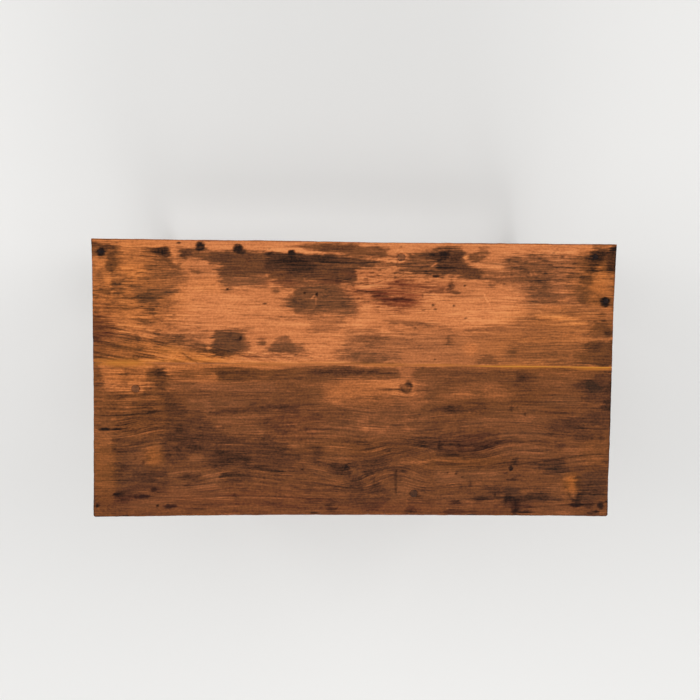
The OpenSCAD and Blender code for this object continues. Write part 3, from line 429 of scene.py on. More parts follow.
FRONT_BASE = 0.62
FRONT_STAINS = [
    # Pale wood at the left end and under the seam
    (.55, 7, .1, [(-590, -12), (-540, -18), (-430, -20), (-430, -44), (-500, -60), (-500, -130),
    (-525, -135), (-590, -130)]), (.325, 5, 0, [(-560, 46), (-440, 46), (-438, 28), (-455, 16), (-455, 2),
    (-447, -5), (-456, -20), (-470, -28), (-495, -28), (-520, -22), (-552, -14), (-548, 0), (-552, 20)]),
    (.27, 3, 0, (-515, -14, 28, 5)), (.26, 3, 0, (-465, -12, 7, 5)), (.26, 3, 0, (-463, -24, 6, 4)),
    (.28, 3, 0, (-450, 33, 22, 4)), (.42, 4, 0, (-500, 8, 10, 14)), (.43, 4, 0, (-478, 20, 14, 5)),
    (.58, 4, .1, [(-590, 45), (-568, 44), (-561, 30), (-558, 5), (-549, -2), (-546, -8), (-560, -22),
    (-590, -26)]), (.50, 5, 0, [(180, 46), (590, 46), (590, 26), (400, 24), (180, 26)]),
    (.31, 2.5, 0, [(-430, 46), (-430, 26), (-416, 12), (-402, 6), (-396, 20), (-340, 25), (-290, 29),
    (-180, 24), (-120, 29), (-60, 33), (0, 30), (60, 32), (95, 26), (130, 31), (200, 34), (200, 46)]),
    (.42, 6, 0, [(93, 30), (98, 15), (110, 4), (131, 2), (127, 15), (136, 30)]), (.43, 4, 0, [(-402, 20),
    (-320, 20), (-298, 15), (-298, -6), (-330, -8), (-380, -5), (-402, 0)]),
    (.34, 2.5, 0, (-345, -4, 34, 3)), (.50, 4, .2, (-325, 14, 18, 4)), (.54, 3, 0, (-360, 10, 12, 3)),
    # The knot with whiskers and the dark strips right of it
    (.50, 5, .1, [(-450, -2), (-442, 22), (-420, 27), (-408, 10), (-400, -5), (-406, -25), (-424, -34),
    (-440, -22), (-446, -8)]), (.67, 3, .1, [(-446, 8), (-437, 18), (-427, 25), (-418, 17), (-413, 6),
    (-430, 4)]), (.80, 2.5, 0, (-429, 11, 7, 6)), (.74, 3, 0, [(-440, -3), (-424, -1), (-417, -12),
    (-414, -20), (-420, -25), (-428, -18), (-430, -8)]), (.74, 3, 0, (-421, -28, 3, 3)),
    (.36, 2.5, 0, (-407, -8, 5, 4)), (.36, 2.5, 0, (-396, -17, 6, 4)), (.36, 2.5, 0, (-450, -13, 3, 5)),
    (.50, 4, .4, [(-430, -3), (-380, -6), (-330, -9), (-300, -3), (-230, -2), (-178, -5), (-178, -22),
    (-230, -26), (-290, -22), (-360, -22), (-395, -18), (-430, -9)]), (.66, 3, .1, [(-307, 18), (-296, 22),
    (-205, 21), (-198, 16), (-214, 8), (-290, 5), (-302, 10)]), (.75, 2.5, 0, (-287, 15, 12, 3.5)),
    (.76, 2.5, 0, (-249, 15, 16, 4)), (.63, 3.5, .1, [(-120, 23), (-112, 26), (0, 27), (16, 22), (10, 14),
    (-40, 12), (-60, 8), (-70, 3), (-130, 2), (-187, 2), (-196, 9), (-170, 20), (-150, 12)]),
    (.74, 3.5, 0, [(-115, 17), (-100, 24), (-74, 24), (-77, 15), (-95, 8), (-102, 15)]),
    (.72, 3, 0, (-176, 9, 7, 4)), (.72, 2.5, 0, (-42, 20, 9, 2.5)), (.71, 3, 0, (-3, 21, 10, 3.5)),
    (.54, 4, .1, [(12, 27), (90, 27), (97, 14), (60, 7), (12, 13)]), (.63, 3, 0, (82, 11, 11, 4)),
    # The olive bands across the left half
    (.55, 5, .4, [(-372, -43), (-330, -41), (-230, -41), (-220, -55), (-290, -61), (-320, -75), (-332, -68),
    (-362, -68)]), (.45, 3.5, .6, [(-337, -44), (-322, -42), (-314, -57), (-320, -69), (-331, -56)]),
    (.46, 3, .6, (-355, -46, 7, 4)), (.46, 3, .6, (-268, -50, 9, 3)), (.56, 4, .3, [(-312, -82),
    (-292, -99), (-240, -94), (-180, -82), (-180, -75), (-300, -77)]), (.55, 4, .3, [(-292, -110),
    (-260, -100), (-220, -95), (-198, -105), (-198, -121), (-230, -117), (-262, -115)]),
    (.44, 3, .4, (-208, -112, 7, 5)),
    # Down the left end
    (.64, 4, .1, [(-527, -30), (-500, -27), (-490, -36), (-510, -43), (-527, -39)]),
    (.74, 2.5, 0, (-508, -36, 12, 3.5)), (.62, 3, .1, (-532, -37, 9, 4)), (.63, 3, .1, [(-462, -27),
    (-444, -24), (-441, -36), (-460, -41)]), (.64, 5, .1, [(-484, -50), (-430, -41), (-422, -75),
    (-458, -82), (-484, -76)]), (.73, 3.5, 0, [(-470, -62), (-452, -49), (-443, -50), (-440, -60),
    (-430, -67), (-445, -71), (-456, -66)]), (.39, 3, .7, (-564, -95, 7, 10)), (.54, 6, .3, [(-590, -80),
    (-526, -84), (-522, -150), (-524, -252), (-590, -256)]), (.46, 4, .6, [(-575, -108), (-540, -112),
    (-528, -118), (-525, -138), (-540, -147), (-575, -150)]), (.46, 4, .5, (-545, -177, 19, 10)),
    (.46, 3, .4, (-547, -229, 14, 6)), (.46, 4, .5, (-498, -68, 8, 14)), (.46, 3, .4, (-489, -45, 11, 5)),
    (.76, 2.5, 0, (-515, -108, 15, 3)), (.64, 5, .3, [(-526, -118), (-410, -122), (-408, -262),
    (-520, -264)]), (.74, 3.5, 0, (-511, -134, 9, 5)), (.74, 3.5, 0, [(-527, -152), (-500, -142),
    (-484, -140), (-494, -152), (-510, -166), (-520, -160)]), (.73, 3, 0, (-439, -123, 11, 4)),
    (.72, 3.5, .1, [(-482, -141), (-465, -129), (-451, -133), (-465, -140)]),
    (.74, 3, 0, (-503, -194, 9, 6)), (.74, 3, 0, (-512, -211, 9, 4)), (.74, 3.5, .1, [(-452, -194),
    (-420, -197), (-407, -203), (-411, -213), (-430, -216), (-445, -225), (-453, -218), (-484, -213),
    (-484, -208), (-450, -207)]), (.55, 6, .2, [(-462, -140), (-430, -131), (-414, -150), (-417, -190),
    (-450, -193), (-482, -181), (-492, -175), (-470, -158)]), (.46, 3.5, .3, [(-450, -145), (-435, -137),
    (-423, -145), (-428, -156), (-440, -163), (-451, -160)]), (.42, 3.5, .2, (-438, -176, 12, 9)),
    (.73, 4, .1, [(-532, -276), (-527, -262), (-516, -245), (-500, -239), (-480, -230), (-415, -227),
    (-411, -240), (-425, -259), (-450, -263), (-480, -263), (-489, -266), (-491, -279), (-510, -282)]),
    (.64, 3.5, .2, [(-482, -247), (-465, -242), (-450, -240), (-446, -252), (-460, -250), (-478, -256)]),
    (.84, 3, 0, [(-529, -253), (-512, -246), (-498, -240), (-492, -248), (-505, -254), (-514, -263),
    (-521, -258)]), (.95, 1.5, 0, (-519, -252, 7, 3)), (.82, 2, 0, (-504, -267.5, 12, 3.5)),
    (.84, 2, 0, (-438, -241, 9, 5)), (.95, 1.5, 0, (-438, -242, 4, 3)), (.70, 2.5, 0, (-466, -258, 17, 7)),
    (.84, 2, 0, (-404, -278.5, 13, 3.5)), (.78, 2.5, 0, (-430, -278, 4, 3)),
    (.80, 3, 0, (-561, -279, 5, 5)), (.56, 6, .4, [(-480, -265), (-402, -246), (-400, -222), (-380, -214),
    (-330, -224), (-300, -224), (-288, -240), (-280, -262), (-380, -262), (-395, -275), (-480, -287),
    (-530, -287)]), (.46, 3, .5, (-324, -234, 19, 6)), (.46, 2.5, .4, (-306, -212, 6, 10)),
    (.52, 4, .6, [(-402, -215), (-405, -204), (-370, -199), (-330, -203), (-300, -199), (-288, -215),
    (-300, -231), (-322, -229), (-345, -207), (-385, -211)]), (.65, 3, .1, [(-396, -212), (-375, -206),
    (-340, -205), (-327, -215), (-335, -225), (-365, -225), (-388, -220)]),
    (.74, 2.5, 0, (-358, -214, 20, 5)), (.73, 3.5, .1, [(-296, -215), (-280, -200), (-230, -201),
    (-224, -222), (-262, -228), (-284, -227), (-270, -218)]), (.82, 2.5, 0, (-268, -207, 12, 3.5)),
    (.72, 3, 0, (-345, -285, 14, 4)), (.72, 3, .1, (-256, -262, 7, 6)), (.72, 3, .1, (-240, -240, 7, 4)),
    (.72, 3, .1, (-366, -233, 6, 6)), (.72, 3, .1, (-180, -273, 12, 3)),
    # The dark middle of the left half
    (.72, 5, .1, [(-415, -30), (-405, -30), (-395, -50), (-380, -52), (-360, -73), (-345, -62), (-336, -66),
    (-336, -86), (-320, -92), (-300, -105), (-290, -119), (-250, -133), (-214, -122), (-190, -118),
    (-178, -125), (-178, -192), (-200, -199), (-225, -190), (-230, -201), (-260, -206), (-300, -200),
    (-318, -188), (-320, -175), (-335, -165), (-350, -162), (-380, -175), (-410, -185), (-420, -175),
    (-425, -162), (-418, -140), (-410, -110), (-418, -97), (-410, -80), (-416, -50)]),
    (.66, 4, .1, (-386, -86, 22, 6)), (.55, 4, .4, (-348, -175, 17, 11)), (.64, 4, .2, (-262, -142, 20, 5)),
    (.63, 4, .1, (-352, -118, 9, 4)), (.83, 3.5, 0, [(-395, -100), (-380, -97), (-361, -103), (-372, -111),
    (-382, -115), (-393, -108)]), (.83, 3, 0, (-345, -132, 17, 4)), (.83, 3, 0, (-383, -141, 13, 4)),
    (.83, 3, 0, (-386, -152, 9, 4)), (.80, 3, 0, (-341, -107, 6, 4)), (.80, 3, 0, (-333, -120, 6, 4)),
    (.83, 3.5, 0, [(-370, -152), (-365, -142), (-350, -140), (-338, -144), (-326, -160), (-345, -158),
    (-356, -150)]), (.82, 3, 0, (-408, -167, 6, 9)), (.84, 4, 0, [(-308, -162), (-298, -150), (-280, -153),
    (-265, -162), (-240, -163), (-226, -165), (-225, -179), (-235, -187), (-243, -183), (-241, -172),
    (-255, -178), (-275, -185), (-291, -191), (-297, -178), (-301, -168)]),
    (.83, 2.5, 0, (-305, -190, 6, 5)), (.80, 3, 0, (-406, -133, 7, 3)), (.80, 3, 0, (-377, -130, 8, 3)),
    (.85, 2.5, 0, (-189, -190, 17, 3.5)), (.73, 3.5, 0, [(-320, -74), (-300, -67), (-270, -65), (-240, -61),
    (-200, -56), (-140, -53), (-124, -62), (-118, -70), (-125, -79), (-150, -71), (-180, -66), (-210, -69),
    (-250, -71), (-290, -77)]),
    # The dark patches of the middle and the swirl round the lower knots
    (.73, 4, .1, [(-107, -70), (-95, -67), (-66, -78), (-90, -79)]), (.73, 4, .1, [(-180, -98), (-168, -95),
    (-160, -85), (-150, -92), (-130, -95), (-122, -87), (-117, -100), (-105, -104), (-140, -106),
    (-150, -119), (-170, -115), (-183, -105)]), (.72, 3.5, .1, (-190, -93, 8, 6)),
    (.73, 4, .1, [(-197, -122), (-180, -126), (-172, -138), (-150, -136), (-144, -148), (-150, -160),
    (-120, -160), (-119, -176), (-135, -181), (-140, -201), (-160, -201), (-175, -209), (-202, -195)]),
    (.73, 3.5, .1, [(-106, -145), (-75, -144), (-69, -160), (-80, -173), (-106, -165), (-85, -159),
    (-100, -152)]), (.54, 3, .3, [(-142, -138), (-110, -138), (-112, -149), (-142, -149)]),
    (.46, 3, .4, (-130, -144, 10, 4)), (.57, 4, .3, (-94, -132, 11, 8)), (.55, 5, .3, [(-72, -132),
    (-50, -134), (-10, -139), (-9, -150), (-14, -170), (-30, -179), (-70, -177), (-74, -172), (-50, -162),
    (-66, -150)]), (.45, 3, .4, (-44, -148, 16, 5)), (.46, 3, .4, (-35, -172, 10, 3)),
    (.73, 3.5, .1, [(-22, -132), (-5, -135), (20, -129), (32, -136), (43, -146), (28, -153), (24, -145),
    (-5, -141)]), (.72, 3.5, .1, (71, -151, 9, 6)), (.74, 4, .1, [(-87, -177), (-55, -182), (0, -181),
    (11, -188), (-4, -197), (-9, -206), (-35, -211), (-60, -196), (-86, -188)]), (.84, 3, 0, [(-61, -186),
    (-45, -183), (-20, -186), (-7, -190), (-11, -198), (-25, -204), (-40, -199), (-56, -191)]),
    (.96, 2, 0, (-16, -192, 5, 3)), (.55, 4, .3, [(-97, -190), (-80, -193), (-65, -197), (-55, -205),
    (-38, -216), (-80, -214), (-94, -208)]), (.73, 4, .1, [(15, -182), (40, -179), (55, -170), (68, -169),
    (67, -180), (79, -190), (73, -204), (66, -196), (55, -206), (45, -201), (40, -216), (25, -221),
    (21, -200)]), (.73, 4, .1, [(-21, -222), (-10, -228), (0, -214), (15, -211), (13, -222), (29, -232),
    (26, -246), (0, -251), (-46, -243), (-41, -235), (-20, -236)]), (.73, 4, .1, [(30, -232), (45, -214),
    (60, -221), (67, -240), (50, -251), (34, -246)]), (.73, 4, .1, [(80, -190), (120, -186), (123, -195),
    (112, -206), (98, -206), (92, -221), (87, -210), (79, -200)]), (.54, 3, .3, [(-6, -195), (8, -198),
    (19, -203), (21, -216), (9, -209), (-6, -206)]), (.83, 3, 0, (15, -237, 7, 5)),
    (.83, 3, 0, (44, -233, 7, 5)), (.72, 4, .1, [(-116, -240), (-95, -229), (-81, -232), (-92, -244),
    (-106, -254)]), (.72, 3.5, .1, (-130, -240, 14, 5)), (.73, 3.5, .1, (-94, -269, 16, 5)),
    (.73, 4.5, .1, [(-67, -276), (-50, -261), (-20, -267), (5, -261), (10, -254), (40, -254), (79, -260),
    (80, -266), (60, -276), (55, -286), (20, -286), (-5, -276), (-40, -275), (-60, -281), (-77, -279)]),
    (.84, 3, 0, (-57, -277, 7, 3)), (.84, 3, 0, (-47, -287, 8, 3)), (.84, 3, 0, (127, -287, 15, 7)),
    (.55, 6, .3, [(72, -246), (90, -227), (100, -224), (120, -204), (152, -204), (146, -225), (135, -241),
    (120, -251), (115, -264), (84, -264)]), (.44, 4, .3, (113, -240, 15, 7)),
    (.73, 3.5, .1, (154, -242, 9, 7)), (.76, 3, .1, (143, -257, 8, 4)),
    # The pale wood round the heart knot
    (.56, 8, .3, [(-112, -15), (-84, -58), (-10, -62), (-18, -84), (-74, -94), (-102, -114), (-50, -120),
    (0, -124), (80, -131), (132, -121), (167, -108), (167, -80), (192, -45), (192, 2), (140, 4), (-60, 4)]),
    (.45, 6, .1, [(-74, -45), (-70, -5), (-30, 2), (0, 10), (60, 15), (100, 6), (152, 0), (152, -20),
    (162, -50), (130, -62), (100, -46), (84, -38), (86, -55), (40, -61), (0, -61), (-40, -57), (-72, -51)]),
    (.35, 4, 0, [(-70, -35), (-60, -17), (-35, -9), (-25, 1), (0, 4), (30, 6), (90, 3), (120, 4), (139, -5),
    (137, -20), (131, -39), (118, -41), (100, -30), (60, -25), (45, -30), (0, -37), (-20, -39)]),
    (.35, 3, 0, [(-62, -42), (-35, -41), (-27, -50), (-45, -53), (-61, -47)]), (.27, 3.5, 0, [(30, -3),
    (60, 2), (100, 1), (111, -5), (85, -15), (60, -11), (34, -10)]), (.27, 3, 0, [(-48, -32), (-40, -19),
    (-30, -24), (-31, -33), (-42, -35)]), (.27, 2.5, 0, [(84, -22), (100, -24), (110, -30), (125, -33),
    (133, -22), (128, -20), (120, -35), (98, -28)]), (.27, 2.5, 0, (125, -6, 7, 5)),
    (.62, 2.5, 0, [(92, -18), (100, -9), (108, -9), (114, -3), (123, -4), (126, -12), (120, -23),
    (113, -28), (106, -25)]), (.76, 2.5, 0, (118, -9, 5, 4)), (.74, 2.5, 0, (104, -17, 5, 4)),
    (.54, 3, .1, (72, -19, 7, 3)), (.52, 2.5, .1, (46, -37, 42, 3)), (.45, 4.5, .2, [(4, -85), (20, -79),
    (30, -82), (30, -92), (20, -98), (50, -101), (70, -91), (80, -103), (100, -100), (110, -94),
    (132, -108), (105, -119), (80, -121), (20, -121), (4, -110)]), (.37, 3, .1, (24, -108, 5, 7)),
    (.37, 3, .1, (60, -110, 8, 4)), (.38, 3, .1, (113, -107, 7, 4)), (.46, 3.5, .2, [(101, -90), (112, -71),
    (125, -71), (123, -87), (110, -93)]), (.46, 4, .2, (48, -62, 10, 4)), (.46, 3.5, .2, (45, -75, 7, 4)),
    # The dark band right of the middle
    (.73, 4, .1, [(108, -130), (130, -126), (160, -123), (200, -125), (230, -124), (290, -125), (310, -116),
    (323, -120), (320, -129), (340, -137), (310, -143), (300, -151), (272, -154), (292, -160), (297, -169),
    (230, -171), (200, -168), (180, -171), (178, -160), (150, -150), (133, -146)]),
    (.83, 3, 0, (147, -138, 11, 6)), (.83, 2.5, 0, (168, -139, 8, 3)), (.83, 3, 0, (266, -147, 7, 4)),
    (.87, 3, 0, (187, -144, 6, 8)), (.83, 3, 0, [(204, -139), (230, -133), (243, -142), (241, -156),
    (232, -155), (229, -143), (206, -143)]), (.83, 3, 0, (289, -145, 13, 3.5)),
    (.83, 3, 0, (216, -163, 13, 5)), (.50, 4, .2, [(118, -182), (150, -175), (190, -171), (242, -171),
    (242, -179), (150, -183)]), (.73, 4, .1, [(178, -58), (210, -53), (225, -55), (240, -61), (260, -57),
    (280, -44), (293, -47), (291, -60), (260, -67), (230, -76), (190, -73), (170, -64)]),
    (.83, 3, 0, (214, -62, 8, 5)),
    # Pale and olive patches of the right half
    (.53, 5, .2, [(188, -10), (245, -4), (300, 1), (332, -15), (347, -30), (341, -46), (290, -49),
    (260, -35), (200, -46), (178, -49), (178, -30)]), (.46, 4, .2, [(246, -5), (280, -2), (310, 0),
    (321, -8), (305, -15), (285, -21), (259, -10)]), (.37, 3, .1, (230, -31, 8, 5)),
    (.45, 4, .2, [(199, -36), (215, -21), (235, -19), (253, -18), (255, -35), (220, -41)]),
    (.44, 4, .2, (305, -31, 18, 8)), (.37, 3, .1, (228, -32, 8, 4)), (.55, 7, .2, [(393, 28), (482, 28),
    (492, 0), (470, -19), (420, -13), (398, -5)]), (.56, 5, .5, [(408, -58), (406, -40), (440, -29),
    (470, -27), (497, -38), (494, -56)]), (.56, 5, .4, [(298, -50), (345, -52), (412, -51), (412, -75),
    (442, -80), (400, -96), (370, -99), (330, -95), (310, -101), (243, -98), (241, -88), (280, -74),
    (298, -65)]), (.46, 3.5, .5, [(354, -75), (368, -71), (380, -70), (399, -75), (391, -89), (370, -91),
    (357, -88)]), (.46, 3, .5, (292, -86, 28, 4)), (.55, 5, .5, [(320, -108), (360, -101), (400, -104),
    (432, -112), (427, -120), (390, -131), (350, -129), (323, -125)]), (.56, 5, .4, [(318, -145),
    (350, -139), (400, -139), (410, -147), (432, -150), (442, -163), (400, -166), (340, -166),
    (318, -161)]), (.46, 3, .5, (378, -154, 11, 4)), (.55, 6, .3, [(468, -180), (468, -165), (480, -154),
    (520, -139), (562, -129), (567, -166), (540, -181), (500, -189), (474, -186)]),
    (.46, 4, .3, (492, -160, 11, 5)), (.46, 4, .3, (533, -168, 8, 4)), (.55, 5, .5, [(178, -190),
    (240, -191), (280, -194), (322, -199), (332, -215), (300, -219), (240, -223), (190, -229),
    (178, -223)]), (.46, 3.5, .6, [(184, -222), (195, -214), (235, -214), (243, -220), (220, -226),
    (194, -227)]), (.46, 3, .5, (213, -206, 8, 5)), (.46, 3, .5, (188, -205, 6, 4)),
    (.46, 3.5, .4, (308, -207, 8, 7)), (.46, 3, .4, (285, -211, 14, 3)), (.56, 5, .3, [(178, -258),
    (220, -251), (250, -257), (300, -267), (323, -272), (300, -281), (240, -281), (178, -276)]),
    (.46, 3, .4, (263, -275, 13, 4)), (.56, 5, .3, [(393, -275), (420, -271), (450, -269), (480, -285),
    (492, -300), (378, -300), (398, -288)]), (.46, 3.5, .3, (468, -293, 13, 5)), (.64, 5, .1, [(318, 15),
    (350, 26), (402, 16), (387, -15), (340, -21), (328, 0)]), (.73, 4, 0, [(351, 12), (358, 20), (380, 21),
    (393, 12), (385, 6), (372, -3), (360, 2)]), (.83, 2.5, 0, (368, 11, 6, 6)),
    (.73, 3, 0, (357, -10, 6, 4)),
    # The dark right end
    (.73, 5, .1, [(484, -5), (500, 1), (520, 9), (540, 19), (590, 22), (590, -112), (540, -100),
    (500, -106), (460, -111), (423, -97), (460, -84), (500, -71), (540, -60), (556, -50), (510, -48),
    (503, -20)]), (.84, 3.5, .5, [(505, -5), (518, 3), (532, 1), (540, -8), (553, -10), (545, -21),
    (530, -27), (517, -20)]), (.84, 4, .1, [(547, -10), (560, 1), (590, 8), (590, -60), (552, -66),
    (545, -55), (553, -40), (558, -30)]), (.72, 4, .1, [(498, -112), (540, -104), (562, -103), (551, -116),
    (530, -121), (528, -131), (486, -131), (494, -122)]), (.72, 3, .1, (550, -124, 4, 7)),
    (.72, 3, .1, (345, -58, 4, 7)), (.72, 2.5, 0, (445, -135, 6, 3)), (.72, 3, .1, (422, -203, 5, 5)),
    (.72, 3.5, .1, (558, -178, 9, 6)), (.72, 3, .1, (227, -106, 10, 4)), (.72, 3, .1, (281, -189, 10, 4)),
    (.73, 3, 0, (460, -143, 10, 9)), (.70, 7, .3, [(388, -185), (400, -179), (440, -174), (460, -177),
    (480, -200), (471, -208), (448, -211), (430, -206), (420, -195)]), (.76, 5, .3, (450, -196, 14, 8)),
    (.82, 3, 0, (358, -177, 7, 8)), (.83, 2.5, 0, (353, -219.5, 9, 4)), (.54, 3, .1, (530, -145, 16, 4)),
    # The lower right, with its black marks
    (.73, 4, .1, [(281, -228), (290, -227), (300, -234), (315, -237), (327, -248), (327, -258), (346, -262),
    (300, -265), (280, -266), (257, -258), (255, -245), (262, -249), (285, -248), (290, -256), (299, -250),
    (292, -243)]), (.85, 2.5, 0, (313, -253, 4, 5)), (.83, 3, 0, (283, -263, 7, 4)),
    (.72, 3, .1, (258, -227, 4, 6)), (.72, 3, .1, (236, -238, 5, 7)), (.80, 3, .1, (225, -269, 9, 4)),
    (.73, 4, .1, (220, -290, 22, 9)), (.73, 3, .1, (265, -290, 9, 5)), (.74, 3.5, .4, [(338, -241),
    (345, -235), (365, -239), (370, -248), (430, -247), (461, -258), (467, -268), (440, -265), (400, -267),
    (391, -275), (387, -286), (360, -300), (348, -281), (335, -279), (316, -283), (318, -275), (330, -268),
    (332, -255)]), (.85, 2.5, .1, [(333, -258), (345, -249), (358, -255), (385, -249), (415, -249),
    (430, -253), (441, -256), (428, -261), (400, -264), (375, -269), (368, -281), (362, -297), (354, -289),
    (351, -277), (345, -269), (338, -271), (337, -279), (331, -275), (334, -268)]),
    (.94, 2.5, 0, [(335, -262), (345, -255), (355, -257), (365, -263), (367, -270), (362, -281),
    (357, -270), (355, -265), (345, -267), (336, -271)]), (.95, 2, 0, (361, -291, 4, 4)),
    (.84, 3, 0, (385, -292, 13, 3)), (.54, 5, .3, [(438, -235), (460, -224), (470, -209), (500, -209),
    (506, -220), (500, -251), (490, -261), (470, -251), (440, -251), (430, -241)]),
    (.42, 3, .1, [(469, -216), (480, -212), (500, -213), (505, -218), (495, -225), (492, -232), (494, -243),
    (490, -259), (485, -248), (478, -244), (461, -243), (478, -239), (480, -228)]),
    (.35, 2.5, 0, (482, -218, 7, 3)), (.74, 4, .4, [(499, -210), (520, -201), (560, -194), (567, -200),
    (567, -246), (560, -261), (530, -266), (512, -271), (499, -260), (499, -240), (496, -225)]),
    (.84, 3, .1, [(499, -260), (502, -246), (515, -242), (529, -248), (516, -251), (508, -258), (505, -271),
    (491, -269), (487, -262)]), (.83, 2.5, .1, (544, -248, 14, 5)), (.82, 2.5, 0, (510, -235, 7, 3)),
    (.82, 3, 0, (526, -231, 5, 5)), (.94, 2, 0, (493, -276, 12, 5)), (.83, 3, 0, (525, -278, 9, 5)),
    (.93, 2.5, 0, (551, -278, 7, 6)), (.87, 2.5, 0, (540, -293, 10, 3.5)),
    (.68, 6, .1, (-421, -14, 11, 17)), (.80, 4, 0, (-428, 17, 13, 7)), (.71, 5, 0, [(-10, 24), (60, 24),
    (88, 18), (94, 10), (70, 6), (0, 10)]), (.76, 5, 0, [(-110, 24), (-60, 27), (8, 27), (40, 22),
    (-20, 15), (-90, 16)]),
]

# Hard black cores of stains: (x, y, half length, half height, strength)
CORES = [
    (-337.5, 290, 9.5, 9, 1.0), (-340, 283, 8, 4, .7), (-257, 284.5, 10.5, 9, 1.0), (-252, 280, 12, 6, .8),
    (-141, 275.5, 8.5, 9, 1.0), (190, 276.5, 11, 7, .95), (348, -194.5, 5, 6.5, .95),
    (-545, -109.5, 13, 3.4, 1.0), (-402, -279, 13, 4.4, .95), (497, -276, 13, 4.6, 1.0),
    (172, 230, 7, 3, .8), (338, -206, 4, 3, .5), (-519, -252, 9, 4, .85), (-438, -242, 6, 4.5, .8),
    (551, -277, 6, 6, .9), (380, -293, 13, 3, .7), (541, -293, 9, 3, .8), (362, -289, 6, 5, .8),
    (-16, -192, 5.5, 4, .9), (-518, -109, 12, 2.4, .8), (-550, 275, 8, 8, .9), (549, 178, 8, 8, .9),
]
# Black holes and missing splinters, in the same five numbers
HOLES = [
    (-86, 188, 3, 4.5, 1.0), (-112.5, 191, 2.5, 2.5, .9), (-279, 198, 2.8, 2.5, .9), (-198, 167, 4, 2, .8),
    (-394, 141, 3.5, 1.8, .6), (167.5, 167, 3, 3, .9), (173, 158, 3.5, 2, .8), (147, 156, 4, 1.5, .7),
    (144, 188, 1.5, 6, .5), (213, 166, 2.5, 2.5, .8), (236, 210, 3, 2.5, .8), (240, 139, 4, 1.8, .7),
    (130, 117.5, 3, 1.6, .6), (205, 208, 2, 4, .6), (174, 48, 3, 2, .6), (-383.5, 296, 4.5, 2.2, .9),
    (-188, 276, 5, 3, .7), (450, 275, 4.5, 2.6, .7), (-352, 174, 4, 1.6, .4), (-251, 91, 2.5, 5, .8),
    (-430, -278, 3, 3, .9), (-561, -279, 4, 3, .9), (207, -204, 3, 2.5, .7), (-309, 207, 3, 1.6, .4),
    (226, -207, 3.2, 2.5, .7), (239, -214, 2.5, 2, .6), (77, -156.5, 4, 2, .7), (-114, -197, 3.5, 1.8, .8),
    (-478, -172, 3, 5, .5), (-461, -182, 4, 5, .6), (566, -269, 4, 2, .8), (-546, -4, 3, 2.5, .7),
    (-552, -3, 3, 1.5, .4), (-454, -11, 3, 2.5, .5), (-201, -131, 5, 4, .4), (314, -254, 2.5, 3, .6),
    (377, -73, 3, 5, .7), (346, -60, 3, 7, .4), (359, -59, 2.2, 6, .3), (187, -143, 3, 7, .6),
    (194, -141, 1.8, 5, .4), (-568, 36, 6, 1.5, .7), (-316, -71, 3, 2, .6), (471, -237, 2.5, 2.5, .4),
    (340, 240, 1.8, 10, .3), (430, 283, 3, 1.5, .5), (500, 261, 3, 2, .4), (96, 293, 3, 2, .5),
    (-190, 286, 3, 2, .4), (119, -81, 3.5, 1.2, .6), (-428, -248, 5, 2, .3), (-330, -286, 8, 1.6, .4),
    (-262, -252, 4, 2, .4), (-260, -259, 4, 2, .4), (-88, -294, 8, 2, .8), (265, -299, 12, 2, .6),
    (-500, -300, 8, 1.6, .7), (566, -82, 1.5, 3, .4),
]
